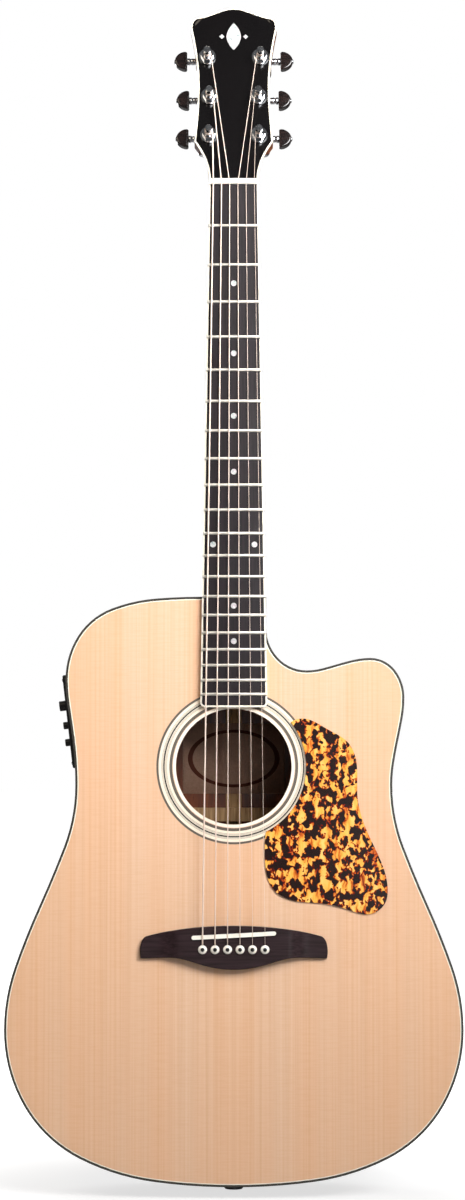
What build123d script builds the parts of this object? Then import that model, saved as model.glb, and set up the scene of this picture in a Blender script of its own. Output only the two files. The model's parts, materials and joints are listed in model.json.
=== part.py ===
from build123d import *
import os
from math import asin, atan2, cos, degrees, radians, sin, sqrt

# Flat-top acoustic guitar with a cutaway body and a side-mounted preamp, as separate pieces.
# Millimetres. +Z runs up the neck, -Y is the soundboard side, +X the cutaway (treble) side.
# The origin is the mouth of the end-pin jack, on the centre line at half the body's depth.

# ---------------------------------------------------------------- driving dimensions
# Body outline. "_up" is measured from the tail, "_down" from the body's upper edge.
body_length = 507
body_depth_tail = 120
body_depth_neck = 100
back_radius = 4500
lower_half, lower_up = 197.6, 134
waist_half, waist_down = 136.8, 163
upper_half, upper_down = 145.5, 71
horn_half, horn_down = 147.5, 87
horn_tip_x, horn_tip_down = 118, 53
scoop_x, scoop_down = 63, 63.8
heel_half, scoop_top_down = 28, 27
# How far each outline curve leans along its end tangents.
lean_tail, lean_hip_low, lean_hip_high = 155.6, 71.4, 77.3
lean_waist_low, lean_waist_bass, lean_waist_treble = 71.9, 42.3, 27.2
lean_upper_low, lean_upper_high, lean_shoulder = 26.5, 52, 82.5
lean_horn_low, lean_horn_side, lean_horn_tip = 24.2, 21, 15.6
lean_scoop_tip, lean_scoop_low = 19.8, 17.3
lean_scoop_in, lean_scoop_up = 20.5, 23

# Shell
top_t = 2.8
back_t = 3
side_t = 2
binding_h = 6
purfling_t = 0.8
lining_t = 6
lining_h = 14

# Soundhole, rosette and pickguard
hole_below_board = 51.3
hole_r = 50
hole_rim_t = 2.6
rosette_in_r, rosette_out_r, rosette_deep = 53.1, 66.9, 1.2
guard_t = 1.5
guard_inner_r = 62.5
guard_clear = 2

# Blocks and braces
neck_block_half, neck_block_long = 42, 60
tail_block_half, tail_block_thick = 40, 20
x_brace_below_hole = 85
x_brace_angle = 40
x_brace_w, x_brace_h = 8, 15
tone_bar_w, tone_bar_h = 7, 12
finger_w, finger_h = 6, 8
shoulder_brace_w, shoulder_brace_h, shoulder_brace_above_hole = 10, 16, 63
hole_patch_w, hole_patch_h = 14, 3
back_brace_w, back_brace_h = 12, 12
back_strip_w, back_strip_h = 14, 2
bridge_plate_t = 2.8

# Neck and fretboard
scale_length = 648
fret_count = 20
body_join_fret = 14
neck_width_nut, neck_width_end = 43, 58
board_past_last_fret = 11.1
board_t = 6
board_radius = 400
board_binding_t = 1.5
board_corner_r = 4
neck_depth_nut, neck_depth_heel = 14.5, 17.5
neck_flat = 4
heel_cap_t = 3.5
tenon_w, tenon_long, tenon_from, tenon_to = 20, 18, 16, 80
tenon_gap = 0.1
fret_w, fret_h = 2.4, 1.0
tang_w, tang_deep = 0.6, 2
dot_r, dot_deep = 2.5, 1.5
twin_dot_x = 17.9
dot_frets = (3, 5, 7, 9, 15, 17)
twin_dot_fret = 12
nut_t = 5
truss_r, truss_deep = 2.5, 10
truss_gap = 0.1
truss_nut_r, truss_nut_long, truss_seat = 4.5, 12, 0.3

# Headstock. Widths and lengths are taken on its face, from the nut's rear edge.
head_tilt = 13
head_face_rise = 1
head_thick = 15
veneer_t = 2
head_binding_t = 1.5
head_waist_at, head_waist_half = 86, 31.5
head_corner_at, head_corner_half = 35.9, 34.4
head_top_at, head_top_half = 144, 37.9
head_tip_at = 164.8
inlay_at, inlay_deep = 137, 1

# Tuning machines, listed from the nut outward
post_x = (21.9, 21.5, 23.4)
post_at = (42, 79, 117)
post_r, post_top = 3, 17
post_gap = 0.05
waist_r, waist_from, waist_to = 2.4, 6.5, 11.5
string_hole_r, string_hole_at = 0.9, 10.4
bush_r, bush_long, washer_r, washer_t, bush_nut_r, bush_nut_h = 4.6, 9, 7.5, 1.5, 5.6, 3
bush_fit = 0.1
worm_at = 6
worm_r, worm_long = 2.1, 12
wheel_r, wheel_h = 3.6, 5
mesh_gap = 0.25
housing_x, housing_s, housing_h = 20, 26, 13
shaft_r, shaft_gap = 1.55, 0.05
collar_r, collar_reach = 2.8, 15.5
button_from_post = 18
button_long, button_wide, button_thick = 11, 18, 7.5
button_seat = 7
tuner_screw_r, tuner_screw_long, tuner_screw_head_r, tuner_screw_head_h = 1, 7, 2.3, 1.4
lug_long, lug_t = 6, 2

# Bridge, saddle, pins and strings. Heights are above the soundboard.
compensation, saddle_slant = 3, 1.95
bridge_h, bridge_wing_h = 9, 4.5
bridge_half, bridge_reach = 81.2, 8.1
saddle_long, saddle_t, saddle_deep = 72.7, 3.5, 5
saddle_top = 12
pin_below_saddle = 12
pin_r, pin_tip_r, pin_long = 2.6, 2.2, 24
pin_gap = 0.1
pin_head_r, pin_head_h = 4.1, 3
pickup_t = 1.2
string_radii = (0.675, 0.535, 0.405, 0.305, 0.205, 0.15)
nut_spread, saddle_spread = 35.7, 53.6
nut_string_h, nut_top = 7.6, 8
wrap_height = 7.6
string_gap, slot_gap = 0.3, 0.08

# Preamp on the bass side
preamp_along = (0.24, 0.97)
panel_long, panel_wide, panel_t, panel_corner, panel_lift = 82, 46, 3, 5, 1
panel_y = -6
box_long, box_wide, box_deep, box_wall = 74, 40, 34, 2
window_gap = 0.3
knob_y = -12
knobs = {"volume_knob": (14.4, 4.5, 5.5), "bass_knob": (-3, 3.25, 4), "treble_knob": (-18, 3.25, 4)}
spindle_r, spindle_deep, knob_lift = 1.5, 9, 0.4
tray_long, tray_wide, tray_deep, tray_face_t = 55, 18.4, 28, 2
tray_gap = 0.3
battery_long, battery_wide, battery_high = 48, 17, 25

# End-pin jack and strap button
jack_proud, jack_bore_r, jack_bore_long = 9.5, 3.25, 28
jack_barrel_r, jack_flange_r, jack_waist_r, jack_nut_h = 5.9, 8.5, 5.2, 3.5
jack_fit = 0.1
strap_r, strap_waist_r, strap_h, strap_screw_r, strap_screw_long = 7, 3.6, 11, 2, 20

# ---------------------------------------------------------------- places worked out from them
front_y = -body_depth_tail / 2
tail_z = jack_proud
top_z = tail_z + body_length
nut_z = top_z + scale_length * (1 - 2 ** (-body_join_fret / 12))
board_length = scale_length * (1 - 2 ** (-fret_count / 12)) + board_past_last_fret
board_end_z = nut_z - board_length
saddle_z = nut_z - scale_length - compensation
pin_z = saddle_z - pin_below_saddle
hole_z = board_end_z - hole_below_board
block_z = top_z - side_t - neck_block_long
past = 30

front = Plane.XZ.offset(-front_y)
back_fall = atan2(body_depth_tail - body_depth_neck, body_length)
back_line = Plane(origin=(0, -front_y, tail_z), x_dir=(1, 0, 0), z_dir=(0, -sin(back_fall), cos(back_fall)))

tilt = radians(head_tilt)
head_up = Vector(0, sin(tilt), cos(tilt))
head_out = Vector(0, -cos(tilt), sin(tilt))
head_origin = Vector(0, front_y - head_face_rise, nut_z + nut_t)
head = Plane(origin=head_origin, x_dir=(1, 0, 0), z_dir=head_out)
head_axis = Axis(head_origin, head_out)


def behind(depth):
    """Plane parallel to the soundboard, that far behind its outer face (minus is in front)."""
    return front.offset(-depth)


def head_point(x, at, out):
    return head_origin + Vector(x, 0, 0) + head_up * at + head_out * out


def half_width(z):
    """Half the width of the neck and fretboard at a height z."""
    share = (nut_z - z) / board_length
    return (neck_width_nut + (neck_width_end - neck_width_nut) * share) / 2


def fret_z(number):
    return nut_z - scale_length * (1 - 2 ** (-number / 12))


def crown_drop(x):
    """How far the fretboard, nut and saddle fall away at x from the centre line."""
    return board_radius - sqrt(board_radius ** 2 - x ** 2)


def string_x(number, spread):
    return spread * (number / (len(string_radii) - 1) - 0.5)


def save(piece, name):
    piece.part.label = name
    export_step(piece.part, f"parts/{name}.step")


os.makedirs("parts", exist_ok=True)

# ---------------------------------------------------------------- body outline
low, hip = tail_z, tail_z + lower_up
waist, upper = top_z - waist_down, top_z - upper_down
horn, horn_tip = top_z - horn_down, top_z - horn_tip_down
scoop, scoop_top = top_z - scoop_down, top_z - scoop_top_down


def arcs_along(*points, spans=2):
    """Tangent arcs that follow the Bezier curve of these points, two to each span of it."""
    curve = Bezier(*points, mode=Mode.PRIVATE)
    for span in range(spans):
        start, end = curve @ (span / spans), curve @ ((span + 1) / spans)
        leave, arrive = curve % (span / spans), curve % ((span + 1) / spans)
        chord, both = end - start, leave + arrive
        parting = 2 * (1 - leave.dot(arrive))
        reach = (sqrt(chord.dot(both) ** 2 + parting * chord.dot(chord)) - chord.dot(both)) / parting
        joint = (start + end + (leave - arrive) * reach) / 2
        TangentArc(start, joint, tangent=leave)
        TangentArc(joint, end, tangent=(end - arrive * reach) - (start + leave * reach))


def outline(depth, inset):
    """The body's outline, drawn that far behind the soundboard's face and shrunk by inset."""
    with BuildSketch(behind(depth)) as shape:
        with BuildLine():
            arcs_along((0, low), (lean_tail, low), (lower_half, hip - lean_hip_low), (lower_half, hip))
            arcs_along((lower_half, hip), (lower_half, hip + lean_hip_high),
                       (waist_half, waist - lean_waist_low), (waist_half, waist))
            arcs_along((waist_half, waist), (waist_half, waist + lean_waist_treble),
                       (horn_half, horn - lean_horn_low), (horn_half, horn))
            arcs_along((horn_half, horn), (horn_half, horn + lean_horn_side),
                       (horn_tip_x + lean_horn_tip, horn_tip), (horn_tip_x, horn_tip), spans=1)
            arcs_along((horn_tip_x, horn_tip), (horn_tip_x - lean_scoop_tip, horn_tip),
                       (scoop_x + lean_scoop_low, scoop), (scoop_x, scoop))
            arcs_along((scoop_x, scoop), (scoop_x - lean_scoop_in, scoop),
                       (heel_half, scoop_top - lean_scoop_up), (heel_half, scoop_top), spans=1)
            Polyline((heel_half, scoop_top), (heel_half, top_z), (-heel_half, top_z))
            arcs_along((-heel_half, top_z), (-heel_half - lean_shoulder, top_z),
                       (-upper_half, upper + lean_upper_high), (-upper_half, upper))
            arcs_along((-upper_half, upper), (-upper_half, upper - lean_upper_low),
                       (-waist_half, waist + lean_waist_bass), (-waist_half, waist))
            arcs_along((-waist_half, waist), (-waist_half, waist - lean_waist_low),
                       (-lower_half, hip + lean_hip_high), (-lower_half, hip))
            arcs_along((-lower_half, hip), (-lower_half, hip - lean_hip_low), (-lean_tail, low), (0, low))
        make_face()
        if inset > 0:
            offset(amount=-inset)
    return shape.sketch


def ahead_of_back(inset):
    """Everything in front of the arched back, its rear face that far inside the back's outer face."""
    half = max(lower_half, horn_half) + past
    sag = back_radius - sqrt(back_radius ** 2 - half ** 2) + inset
    with BuildPart() as block:
        with BuildSketch(back_line.offset(-past)):
            with BuildLine():
                ThreePointArc((-half, -sag), (0, -inset), (half, -sag))
                Polyline((half, -sag), (half, -2 * body_depth_tail),
                         (-half, -2 * body_depth_tail), (-half, -sag))
            make_face()
        extrude(amount=body_length + 2 * past)
    return block.part


# ---------------------------------------------------------------- preamp's place on the side
flank = Bezier((-waist_half, waist), (-waist_half, waist + lean_waist_bass),
               (-upper_half, upper - lean_upper_low), (-upper_half, upper))
flank_low, flank_high = flank @ preamp_along[0], flank @ preamp_along[1]
flank_mid = (flank_low + flank_high) / 2
flank_up = (flank_high - flank_low).normalized()
panel_plane = Plane(origin=(flank_mid.X, panel_y, flank_mid.Y), x_dir=(flank_up.X, 0, flank_up.Y),
                    z_dir=(-flank_up.Y, 0, flank_up.X))
panel_axis = Axis(panel_plane.origin, panel_plane.z_dir)

# ---------------------------------------------------------------- shell
with BuildPart() as sides:
    extrude(outline(binding_h, 0), amount=-body_depth_tail)
    extrude(outline(binding_h, side_t), amount=-body_depth_tail, mode=Mode.SUBTRACT)
    add(ahead_of_back(binding_h), mode=Mode.INTERSECT)
    with Locations((0, front_y + (tenon_from + tenon_to) / 2, top_z)):
        Box(tenon_w + 2 * tenon_gap, tenon_to - tenon_from + 2 * tenon_gap, 3 * side_t, mode=Mode.SUBTRACT)
    with Locations((0, front_y + truss_deep, top_z)):
        Cylinder(truss_r + truss_gap, 3 * side_t, mode=Mode.SUBTRACT)
    with Locations((0, 0, tail_z)):
        Cylinder(jack_barrel_r + jack_fit, 3 * side_t, mode=Mode.SUBTRACT)
    with BuildSketch(panel_plane.offset(-box_deep / 2)):
        Rectangle(box_long + 2 * window_gap, box_wide + 2 * window_gap)
    extrude(amount=box_deep, mode=Mode.SUBTRACT)
save(sides, "sides")

with BuildPart() as top_binding:
    extrude(outline(0, 0), amount=-binding_h)
    extrude(outline(0, side_t), amount=-binding_h, mode=Mode.SUBTRACT)
save(top_binding, "top_binding")

with BuildPart() as top_purfling:
    extrude(outline(0, side_t), amount=-top_t)
    extrude(outline(0, side_t + purfling_t), amount=-top_t, mode=Mode.SUBTRACT)
save(top_purfling, "top_purfling")

with BuildPart() as back_binding:
    extrude(outline(0, 0), amount=-body_depth_tail - past)
    extrude(outline(0, side_t), amount=-body_depth_tail - past, mode=Mode.SUBTRACT)
    add(ahead_of_back(0), mode=Mode.INTERSECT)
    add(ahead_of_back(binding_h), mode=Mode.SUBTRACT)
save(back_binding, "back_binding")

with BuildPart() as back_plate:
    extrude(outline(0, side_t), amount=-body_depth_tail - past)
    add(ahead_of_back(0), mode=Mode.INTERSECT)
    add(ahead_of_back(back_t), mode=Mode.SUBTRACT)
save(back_plate, "back_plate")

pin_spots = [(string_x(number, saddle_spread), pin_z) for number in range(len(string_radii))]

with BuildPart() as soundboard:
    extrude(outline(0, side_t + purfling_t), amount=-top_t)
    with BuildSketch(behind(0)):
        with Locations((0, hole_z)):
            Circle(hole_r + hole_rim_t)
        with Locations(*pin_spots):
            Circle(pin_r + pin_gap)
    extrude(amount=-top_t, mode=Mode.SUBTRACT)
    with BuildSketch(behind(0)):
        with Locations((0, hole_z)):
            Circle(rosette_out_r)
            Circle(rosette_in_r, mode=Mode.SUBTRACT)
    extrude(amount=-rosette_deep, mode=Mode.SUBTRACT)
save(soundboard, "soundboard")

with BuildPart() as rosette:
    with BuildSketch(behind(0)):
        with Locations((0, hole_z)):
            Circle(rosette_out_r)
            Circle(rosette_in_r, mode=Mode.SUBTRACT)
    extrude(amount=-rosette_deep)
    with BuildSketch(behind(0)):
        with Locations((0, hole_z)):
            Circle(hole_r + hole_rim_t)
            Circle(hole_r, mode=Mode.SUBTRACT)
    extrude(amount=-top_t)
save(rosette, "rosette")

# The blocks fill the body's depth at each end; the linings stop at them.
block_span = 2 * body_depth_tail

with BuildPart() as neck_block:
    extrude(outline(top_t, side_t), amount=-body_depth_tail - past)
    with Locations((0, 0, block_z + neck_block_long / 2 + past / 2)):
        Box(2 * neck_block_half, block_span, neck_block_long + past, mode=Mode.INTERSECT)
    add(ahead_of_back(back_t), mode=Mode.INTERSECT)
    with Locations((0, front_y + (tenon_from + tenon_to) / 2, top_z - tenon_long / 2)):
        Box(tenon_w + 2 * tenon_gap, tenon_to - tenon_from + 2 * tenon_gap, tenon_long + 2 * tenon_gap,
            mode=Mode.SUBTRACT)
    with Locations((0, front_y + truss_deep, block_z)):
        Cylinder(truss_r + truss_gap, 3 * neck_block_long, mode=Mode.SUBTRACT)
save(neck_block, "neck_block")

tail_in_z = tail_z + side_t + tail_block_thick
with BuildPart() as tail_block:
    extrude(outline(top_t, side_t), amount=-body_depth_tail - past)
    with Locations((0, 0, tail_in_z - tail_block_thick)):
        Box(2 * tail_block_half, block_span, 2 * tail_block_thick, mode=Mode.INTERSECT)
    add(ahead_of_back(back_t), mode=Mode.INTERSECT)
    with Locations((0, 0, tail_z)):
        Cylinder(jack_barrel_r + jack_fit, 4 * tail_block_thick, mode=Mode.SUBTRACT)
save(tail_block, "tail_block")

with BuildPart() as linings:
    extrude(outline(top_t, side_t), amount=-body_depth_tail - past)
    extrude(outline(top_t, side_t + lining_t), amount=-body_depth_tail - past, mode=Mode.SUBTRACT)
    add(ahead_of_back(back_t), mode=Mode.INTERSECT)
    with BuildSketch(behind(top_t + lining_h)) as between:
        with Locations((0, top_z / 2)):
            Rectangle(3 * lower_half, 2 * body_length)
    between_linings = extrude(amount=-body_depth_tail, mode=Mode.PRIVATE) & ahead_of_back(back_t + lining_h)
    add(between_linings, mode=Mode.SUBTRACT)
    with Locations((0, 0, block_z + body_length / 2)):
        Box(2 * neck_block_half, block_span, body_length, mode=Mode.SUBTRACT)
    with Locations((0, 0, tail_in_z - body_length / 2)):
        Box(2 * tail_block_half, block_span, body_length, mode=Mode.SUBTRACT)
save(linings, "linings")

# ---------------------------------------------------------------- braces
x_brace_z = hole_z - x_brace_below_hole
shoulder_z = min(hole_z + shoulder_brace_above_hole,
                 block_z - truss_seat - truss_nut_long - truss_gap - shoulder_brace_w / 2)
# (x, z, length, angle, width, height) of each bar glued under the soundboard
top_bars = [
    (0, x_brace_z, 3 * lower_half, x_brace_angle, x_brace_w, x_brace_h),
    (0, x_brace_z, 3 * lower_half, -x_brace_angle, x_brace_w, x_brace_h),
    (0, shoulder_z, 3 * upper_half, 0, shoulder_brace_w, shoulder_brace_h),
    (-10, x_brace_z - 147, 150, -24, tone_bar_w, tone_bar_h),
    (-12, x_brace_z - 192, 160, -20, tone_bar_w, tone_bar_h),
    (-135, x_brace_z - 72, 70, 35, finger_w, finger_h),
    (135, x_brace_z - 72, 70, -35, finger_w, finger_h),
    (-118, x_brace_z - 30, 60, 20, finger_w, finger_h),
    (118, x_brace_z - 30, 60, -20, finger_w, finger_h),
    (-hole_r - hole_rim_t - hole_patch_w, hole_z, 80, 90, hole_patch_w, hole_patch_h),
    (hole_r + hole_rim_t + hole_patch_w, hole_z, 80, 90, hole_patch_w, hole_patch_h),
]
with BuildPart() as top_braces:
    for x, z, length, angle, width, height in top_bars:
        with BuildSketch(behind(top_t)):
            with Locations((x, z)):
                Rectangle(length, width, rotation=angle)
        extrude(amount=-height)
    extrude(outline(top_t, side_t + lining_t), amount=-body_depth_tail, mode=Mode.INTERSECT)
save(top_braces, "top_braces")

plate_top, plate_low, plate_top_half, plate_low_half = 16, 26, 48, 74
with BuildPart() as bridge_plate:
    with BuildSketch(behind(top_t)):
        with BuildLine():
            Polyline((-plate_top_half, pin_z + plate_top), (plate_top_half, pin_z + plate_top),
                     (plate_low_half, pin_z - plate_low), (-plate_low_half, pin_z - plate_low), close=True)
        make_face()
        with Locations(*pin_spots):
            Circle(pin_r + pin_gap, mode=Mode.SUBTRACT)
    extrude(amount=-bridge_plate_t)
    add(top_braces.part, mode=Mode.SUBTRACT)
save(bridge_plate, "bridge_plate")

back_brace_z = (tail_z + 95, tail_z + 205, hole_z - 43, hole_z + 60)
with BuildPart() as back_braces:
    for z in back_brace_z:
        with Locations((0, 0, z)):
            Box(3 * lower_half, block_span, back_brace_w)
    extrude(outline(0, side_t + lining_t), amount=-body_depth_tail - past, mode=Mode.INTERSECT)
    add(ahead_of_back(back_t), mode=Mode.INTERSECT)
    add(ahead_of_back(back_t + back_brace_h), mode=Mode.SUBTRACT)
with BuildPart() as back_strip:
    with Locations((0, 0, (tail_in_z + block_z) / 2)):
        Box(back_strip_w, block_span, block_z - tail_in_z)
    add(ahead_of_back(back_t), mode=Mode.INTERSECT)
    add(ahead_of_back(back_t + back_strip_h), mode=Mode.SUBTRACT)
    add(back_braces.part)
save(back_strip, "back_braces")

# ---------------------------------------------------------------- pickguard
with BuildPart() as pickguard:
    with BuildSketch(Plane(origin=(0, front_y, hole_z), x_dir=(1, 0, 0), z_dir=(0, -1, 0))):
        with BuildLine():
            tip, tail = (49.3, 38.4), (27.6, -56.1)
            Spline(tip, (60.5, 41.5), (81.5, 32), (98.5, 21), (104.8, 9), (106.6, -24), (114.2, -54),
                   (126.2, -80), (132.4, -102), (129.9, -118), (118.5, -126.4), (98.9, -123),
                   (73.7, -117.4), (50.9, -115), (34.5, -106), (27.9, -90), tail)
            RadiusArc(tail, tip, -guard_inner_r)
        make_face()
        with Locations((0, saddle_z - hole_z)):
            Rectangle(2 * (bridge_half + guard_clear), 2 * (bridge_reach + guard_clear), mode=Mode.SUBTRACT)
    extrude(amount=guard_t)
save(pickguard, "pickguard")

# ---------------------------------------------------------------- neck
shaft_z = top_z + 74
# The heel, as slices parallel to the soundboard: (depth, length up the neck, half width)
heel_slices = [(9, 72, 25), (18, 58, 25), (27, 44, 24), (40, 33, 22), (60, 26, 19), (80, 22.5, 16.5),
               (body_depth_neck, 20, 14.5)]
head_root = 30


def neck_section(plane, half, near, far, flat, fullness):
    """Rounded neck section: flat against the fretboard, nearly flat underneath."""
    with BuildSketch(plane) as shape:
        with BuildLine():
            reach, out = fullness * (far - near), flat + fullness * (half - flat)
            Bezier((-half, near), (-half, near + reach), (-out, far), (-flat, far))
            Line((-flat, far), (flat, far))
            Bezier((flat, far), (out, far), (half, near + reach), (half, near))
            Line((half, near), (-half, near))
        make_face()
    return shape.sketch


def across_neck(z):
    return Plane(origin=(0, front_y, z), x_dir=(1, 0, 0), z_dir=(0, 0, 1))


def across_head(at):
    return Plane(origin=head_point(0, at, 0), x_dir=(1, 0, 0), z_dir=head_up)


def head_outline(out, inset):
    """The headstock's outline on a plane that far out of its face, shrunk by inset.

    It runs on under the nut, so that shrinking it moves no edge there.
    """
    with BuildSketch(head.offset(out)) as shape:
        with BuildLine():
            foot, corner = (half_width(nut_z), 0), (head_corner_half, head_corner_at)
            narrow, top = (head_waist_half, head_waist_at), (head_top_half, head_top_at)
            ear, tip = (head_top_half - 6.6, head_top_at + 11.8), (0, head_tip_at)
            Line((foot[0], -past), foot)
            arcs_along(foot, (foot[0], 14), (corner[0] - 6.4, corner[1] - 8.9), corner)
            arcs_along(corner, (corner[0] - 1, corner[1] + 16), (narrow[0], narrow[1] - 18), narrow)
            arcs_along(narrow, (narrow[0], narrow[1] + 22), (top[0] - 3.9, top[1] - 20), top)
            arcs_along(top, (top[0] + 1.4, top[1] + 7), (ear[0] + 5.7, ear[1] - 0.8), ear, spans=1)
            arcs_along(ear, (ear[0] - 11.3, ear[1] + 1.6), (11, tip[1]), tip)
            Polyline(tip, (0, -past), (foot[0], -past))
        make_face()
        mirror(about=Plane.YZ)
        if inset > 0:
            offset(amount=-inset)
    return shape.sketch


def nut_profile():
    """Side view of the nut, with its rear edge down on the headstock's slope."""
    with BuildSketch(Plane.YZ) as shape:
        with BuildLine():
            Polyline((front_y, nut_z), (front_y - nut_top + 0.8, nut_z), (front_y - nut_top, nut_z + 0.8),
                     (front_y - nut_top, nut_z + 2), (front_y - nut_top + 1.2, nut_z + nut_t),
                     (head_point(0, 0, -veneer_t).Y, nut_z + nut_t), close=True)
        make_face()
    return shape.sketch


heel_sections = []
for depth, long, half in heel_slices:
    with BuildSketch(behind(depth)) as heel_slice:
        with BuildLine():
            Line((-half, top_z), (half, top_z))
            Bezier((half, top_z), (half, top_z + 0.75 * long), (0.55 * half, top_z + long), (0, top_z + long))
            Bezier((0, top_z + long), (-0.55 * half, top_z + long), (-half, top_z + 0.75 * long),
                   (-half, top_z))
        make_face()
    heel_sections.append(heel_slice.sketch)

with BuildPart() as heel:
    loft(sections=heel_sections)

posts = [(side, side * x, at) for side in (-1, 1) for x, at in zip(post_x, post_at)]
post_spots = [(x, at) for side, x, at in posts]
screw_at = worm_at / 2 + 0.5 - housing_s / 2 - lug_long / 2
screw_spots = [(x, at + screw_at) for side, x, at in posts]
strap_z = top_z + heel_slices[-1][1] / 2
cap_depth = body_depth_neck - heel_cap_t
truss_low_z = block_z - truss_seat - truss_nut_long * 0.7
truss_high_z = nut_z - 22

with BuildPart() as heel_cap:
    add(heel.part)
    with Locations((0, front_y + cap_depth / 2, top_z)):
        Box(8 * neck_width_end, cap_depth, 8 * neck_width_end, mode=Mode.SUBTRACT)
    with BuildSketch(behind(cap_depth)):
        with Locations((0, strap_z)):
            Circle(strap_screw_r + post_gap)
    extrude(amount=-2 * heel_cap_t, mode=Mode.SUBTRACT)
save(heel_cap, "heel_cap")

with BuildPart() as head_slab:
    extrude(head_outline(-veneer_t, 0), amount=veneer_t - head_thick)
    split(bisect_by=across_head(head_root), keep=Keep.TOP)
    chamfer(head_slab.faces().sort_by(head_axis)[0].edges().sort_by(Axis.Z)[1:], 1)

with BuildPart() as neck:
    shaft_root = neck_section(across_neck(nut_z - 25), half_width(nut_z - 25), 0, neck_depth_nut,
                              neck_flat, 0.55)
    loft(sections=[neck_section(across_neck(top_z), half_width(top_z), 0, neck_depth_heel, neck_flat, 0.55),
                   shaft_root], ruled=True)
    loft(sections=[shaft_root,
                   neck_section(across_neck(nut_z), half_width(nut_z), 0, neck_depth_nut, neck_flat, 0.56),
                   neck_section(across_head(0.36 * head_root), half_width(nut_z) + 1.3, veneer_t, head_thick + 0.5,
                                1.5 * neck_flat, 0.64),
                   neck_section(across_head(head_root), head_corner_half - 3.8, veneer_t, head_thick,
                                3 * neck_flat, 0.85)])
    add(head_slab.part)
    add(heel.part)
    with Locations((0, front_y - past, nut_z - 2 * body_length)):
        Box(4 * neck_width_end, 2 * past, 4 * body_length, mode=Mode.SUBTRACT)
    with BuildSketch(head.offset(-veneer_t)):
        with Locations((0, head_tip_at / 2)):
            Rectangle(4 * neck_width_end, head_tip_at)
    extrude(amount=past, mode=Mode.SUBTRACT)
    extrude(nut_profile(), amount=2 * neck_width_end, both=True, mode=Mode.SUBTRACT)
    with Locations((0, front_y + cap_depth + past, top_z)):
        Box(4 * neck_width_end, 2 * past, 4 * neck_width_end, mode=Mode.SUBTRACT)
    with Locations((0, front_y + (tenon_from + tenon_to) / 2, top_z - tenon_long / 2)):
        Box(tenon_w, tenon_to - tenon_from, tenon_long)
    with BuildSketch(Plane.XY.offset(top_z - 2 * tenon_long)):
        with Locations((0, front_y + truss_deep)):
            Circle(truss_r + truss_gap)
    extrude(amount=truss_high_z + 1 - top_z + 2 * tenon_long, mode=Mode.SUBTRACT)
    with BuildSketch(head):
        with Locations(*post_spots):
            Circle(bush_r + bush_fit)
    extrude(amount=-2 * head_thick, mode=Mode.SUBTRACT)
    with BuildSketch(head.offset(-head_thick)):
        with Locations(*screw_spots):
            Circle(tuner_screw_r)
    extrude(amount=tuner_screw_long - lug_t, mode=Mode.SUBTRACT)
    with BuildSketch(behind(cap_depth)):
        with Locations((0, strap_z)):
            Circle(strap_screw_r + post_gap)
    extrude(amount=strap_screw_long, mode=Mode.SUBTRACT)
save(neck, "neck")

with BuildPart() as truss_rod:
    with BuildSketch(Plane.XY.offset(truss_low_z)):
        with Locations((0, front_y + truss_deep)):
            Circle(truss_r)
    extrude(amount=truss_high_z - truss_low_z)
save(truss_rod, "truss_rod")

with BuildPart() as truss_rod_nut:
    with BuildSketch(Plane.XY.offset(block_z - truss_seat - truss_nut_long)):
        with Locations((0, front_y + truss_deep)):
            Circle(truss_nut_r)
    extrude(amount=truss_nut_long)
    with BuildSketch(Plane.XY.offset(truss_low_z - 0.1)):
        with Locations((0, front_y + truss_deep)):
            Circle(truss_r + post_gap)
    extrude(amount=truss_nut_long, mode=Mode.SUBTRACT)
    with BuildSketch(Plane.XY.offset(block_z - truss_seat - truss_nut_long)):
        with Locations((0, front_y + truss_deep)):
            RegularPolygon(truss_r, 6)
    extrude(amount=truss_nut_long * 0.25, mode=Mode.SUBTRACT)
save(truss_rod_nut, "truss_rod_nut")


# ---------------------------------------------------------------- fretboard, frets, dots and nut
def board_outline(inset, end_z, corner):
    """The fretboard's tapering outline, on the soundboard's plane."""
    nut_half, end_half = half_width(nut_z) - inset, half_width(board_end_z) - inset
    with BuildSketch(behind(0)) as shape:
        with BuildLine() as edge:
            Polyline((nut_half, nut_z), (end_half, end_z), (-end_half, end_z), (-nut_half, nut_z), close=True)
        make_face()
        fillet(shape.vertices().sort_by(Axis.Y)[:2], corner)
    return shape.sketch


def crowned(piece_top):
    """A round bar along the neck whose surface is the arched top, that far above the soundboard."""
    with BuildPart(Plane.XY.offset(board_end_z - past)) as bar:
        with Locations((0, front_y - piece_top + board_radius)):
            Cylinder(board_radius, board_length + 3 * past, align=(Align.CENTER, Align.CENTER, Align.MIN))
    return bar.part


def arched_wire(number, half, low_r, high_r, width):
    """Half-round or square wire bent over the fretboard's arch at one fret."""
    turn = 2 * degrees(asin(half / board_radius))
    start = radians(turn / 2)
    centre = Vector(0, front_y - board_t + board_radius, fret_z(number))
    plane = Plane(origin=centre, x_dir=(-sin(start), -cos(start), 0), z_dir=(-cos(start), sin(start), 0))
    with BuildPart() as wire:
        with BuildSketch(plane):
            with BuildLine():
                Polyline((high_r - 0.3, -width / 2), (low_r, -width / 2), (low_r, width / 2),
                         (high_r - 0.3, width / 2))
                ThreePointArc((high_r - 0.3, width / 2), (high_r, 0), (high_r - 0.3, -width / 2))
            make_face()
        revolve(axis=Axis(centre, (0, 0, 1)), revolution_arc=turn)
    return wire.part


tangs = []
for number in range(1, fret_count + 1):
    tangs.append(arched_wire(number, half_width(fret_z(number)) - board_binding_t, board_radius - tang_deep,
                             board_radius + 0.4, tang_w))

dot_spots = [(0, (fret_z(number) + fret_z(number - 1)) / 2) for number in dot_frets]
twin_z = (fret_z(twin_dot_fret) + fret_z(twin_dot_fret - 1)) / 2
dot_spots += [(-twin_dot_x, twin_z), (twin_dot_x, twin_z)]

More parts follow.
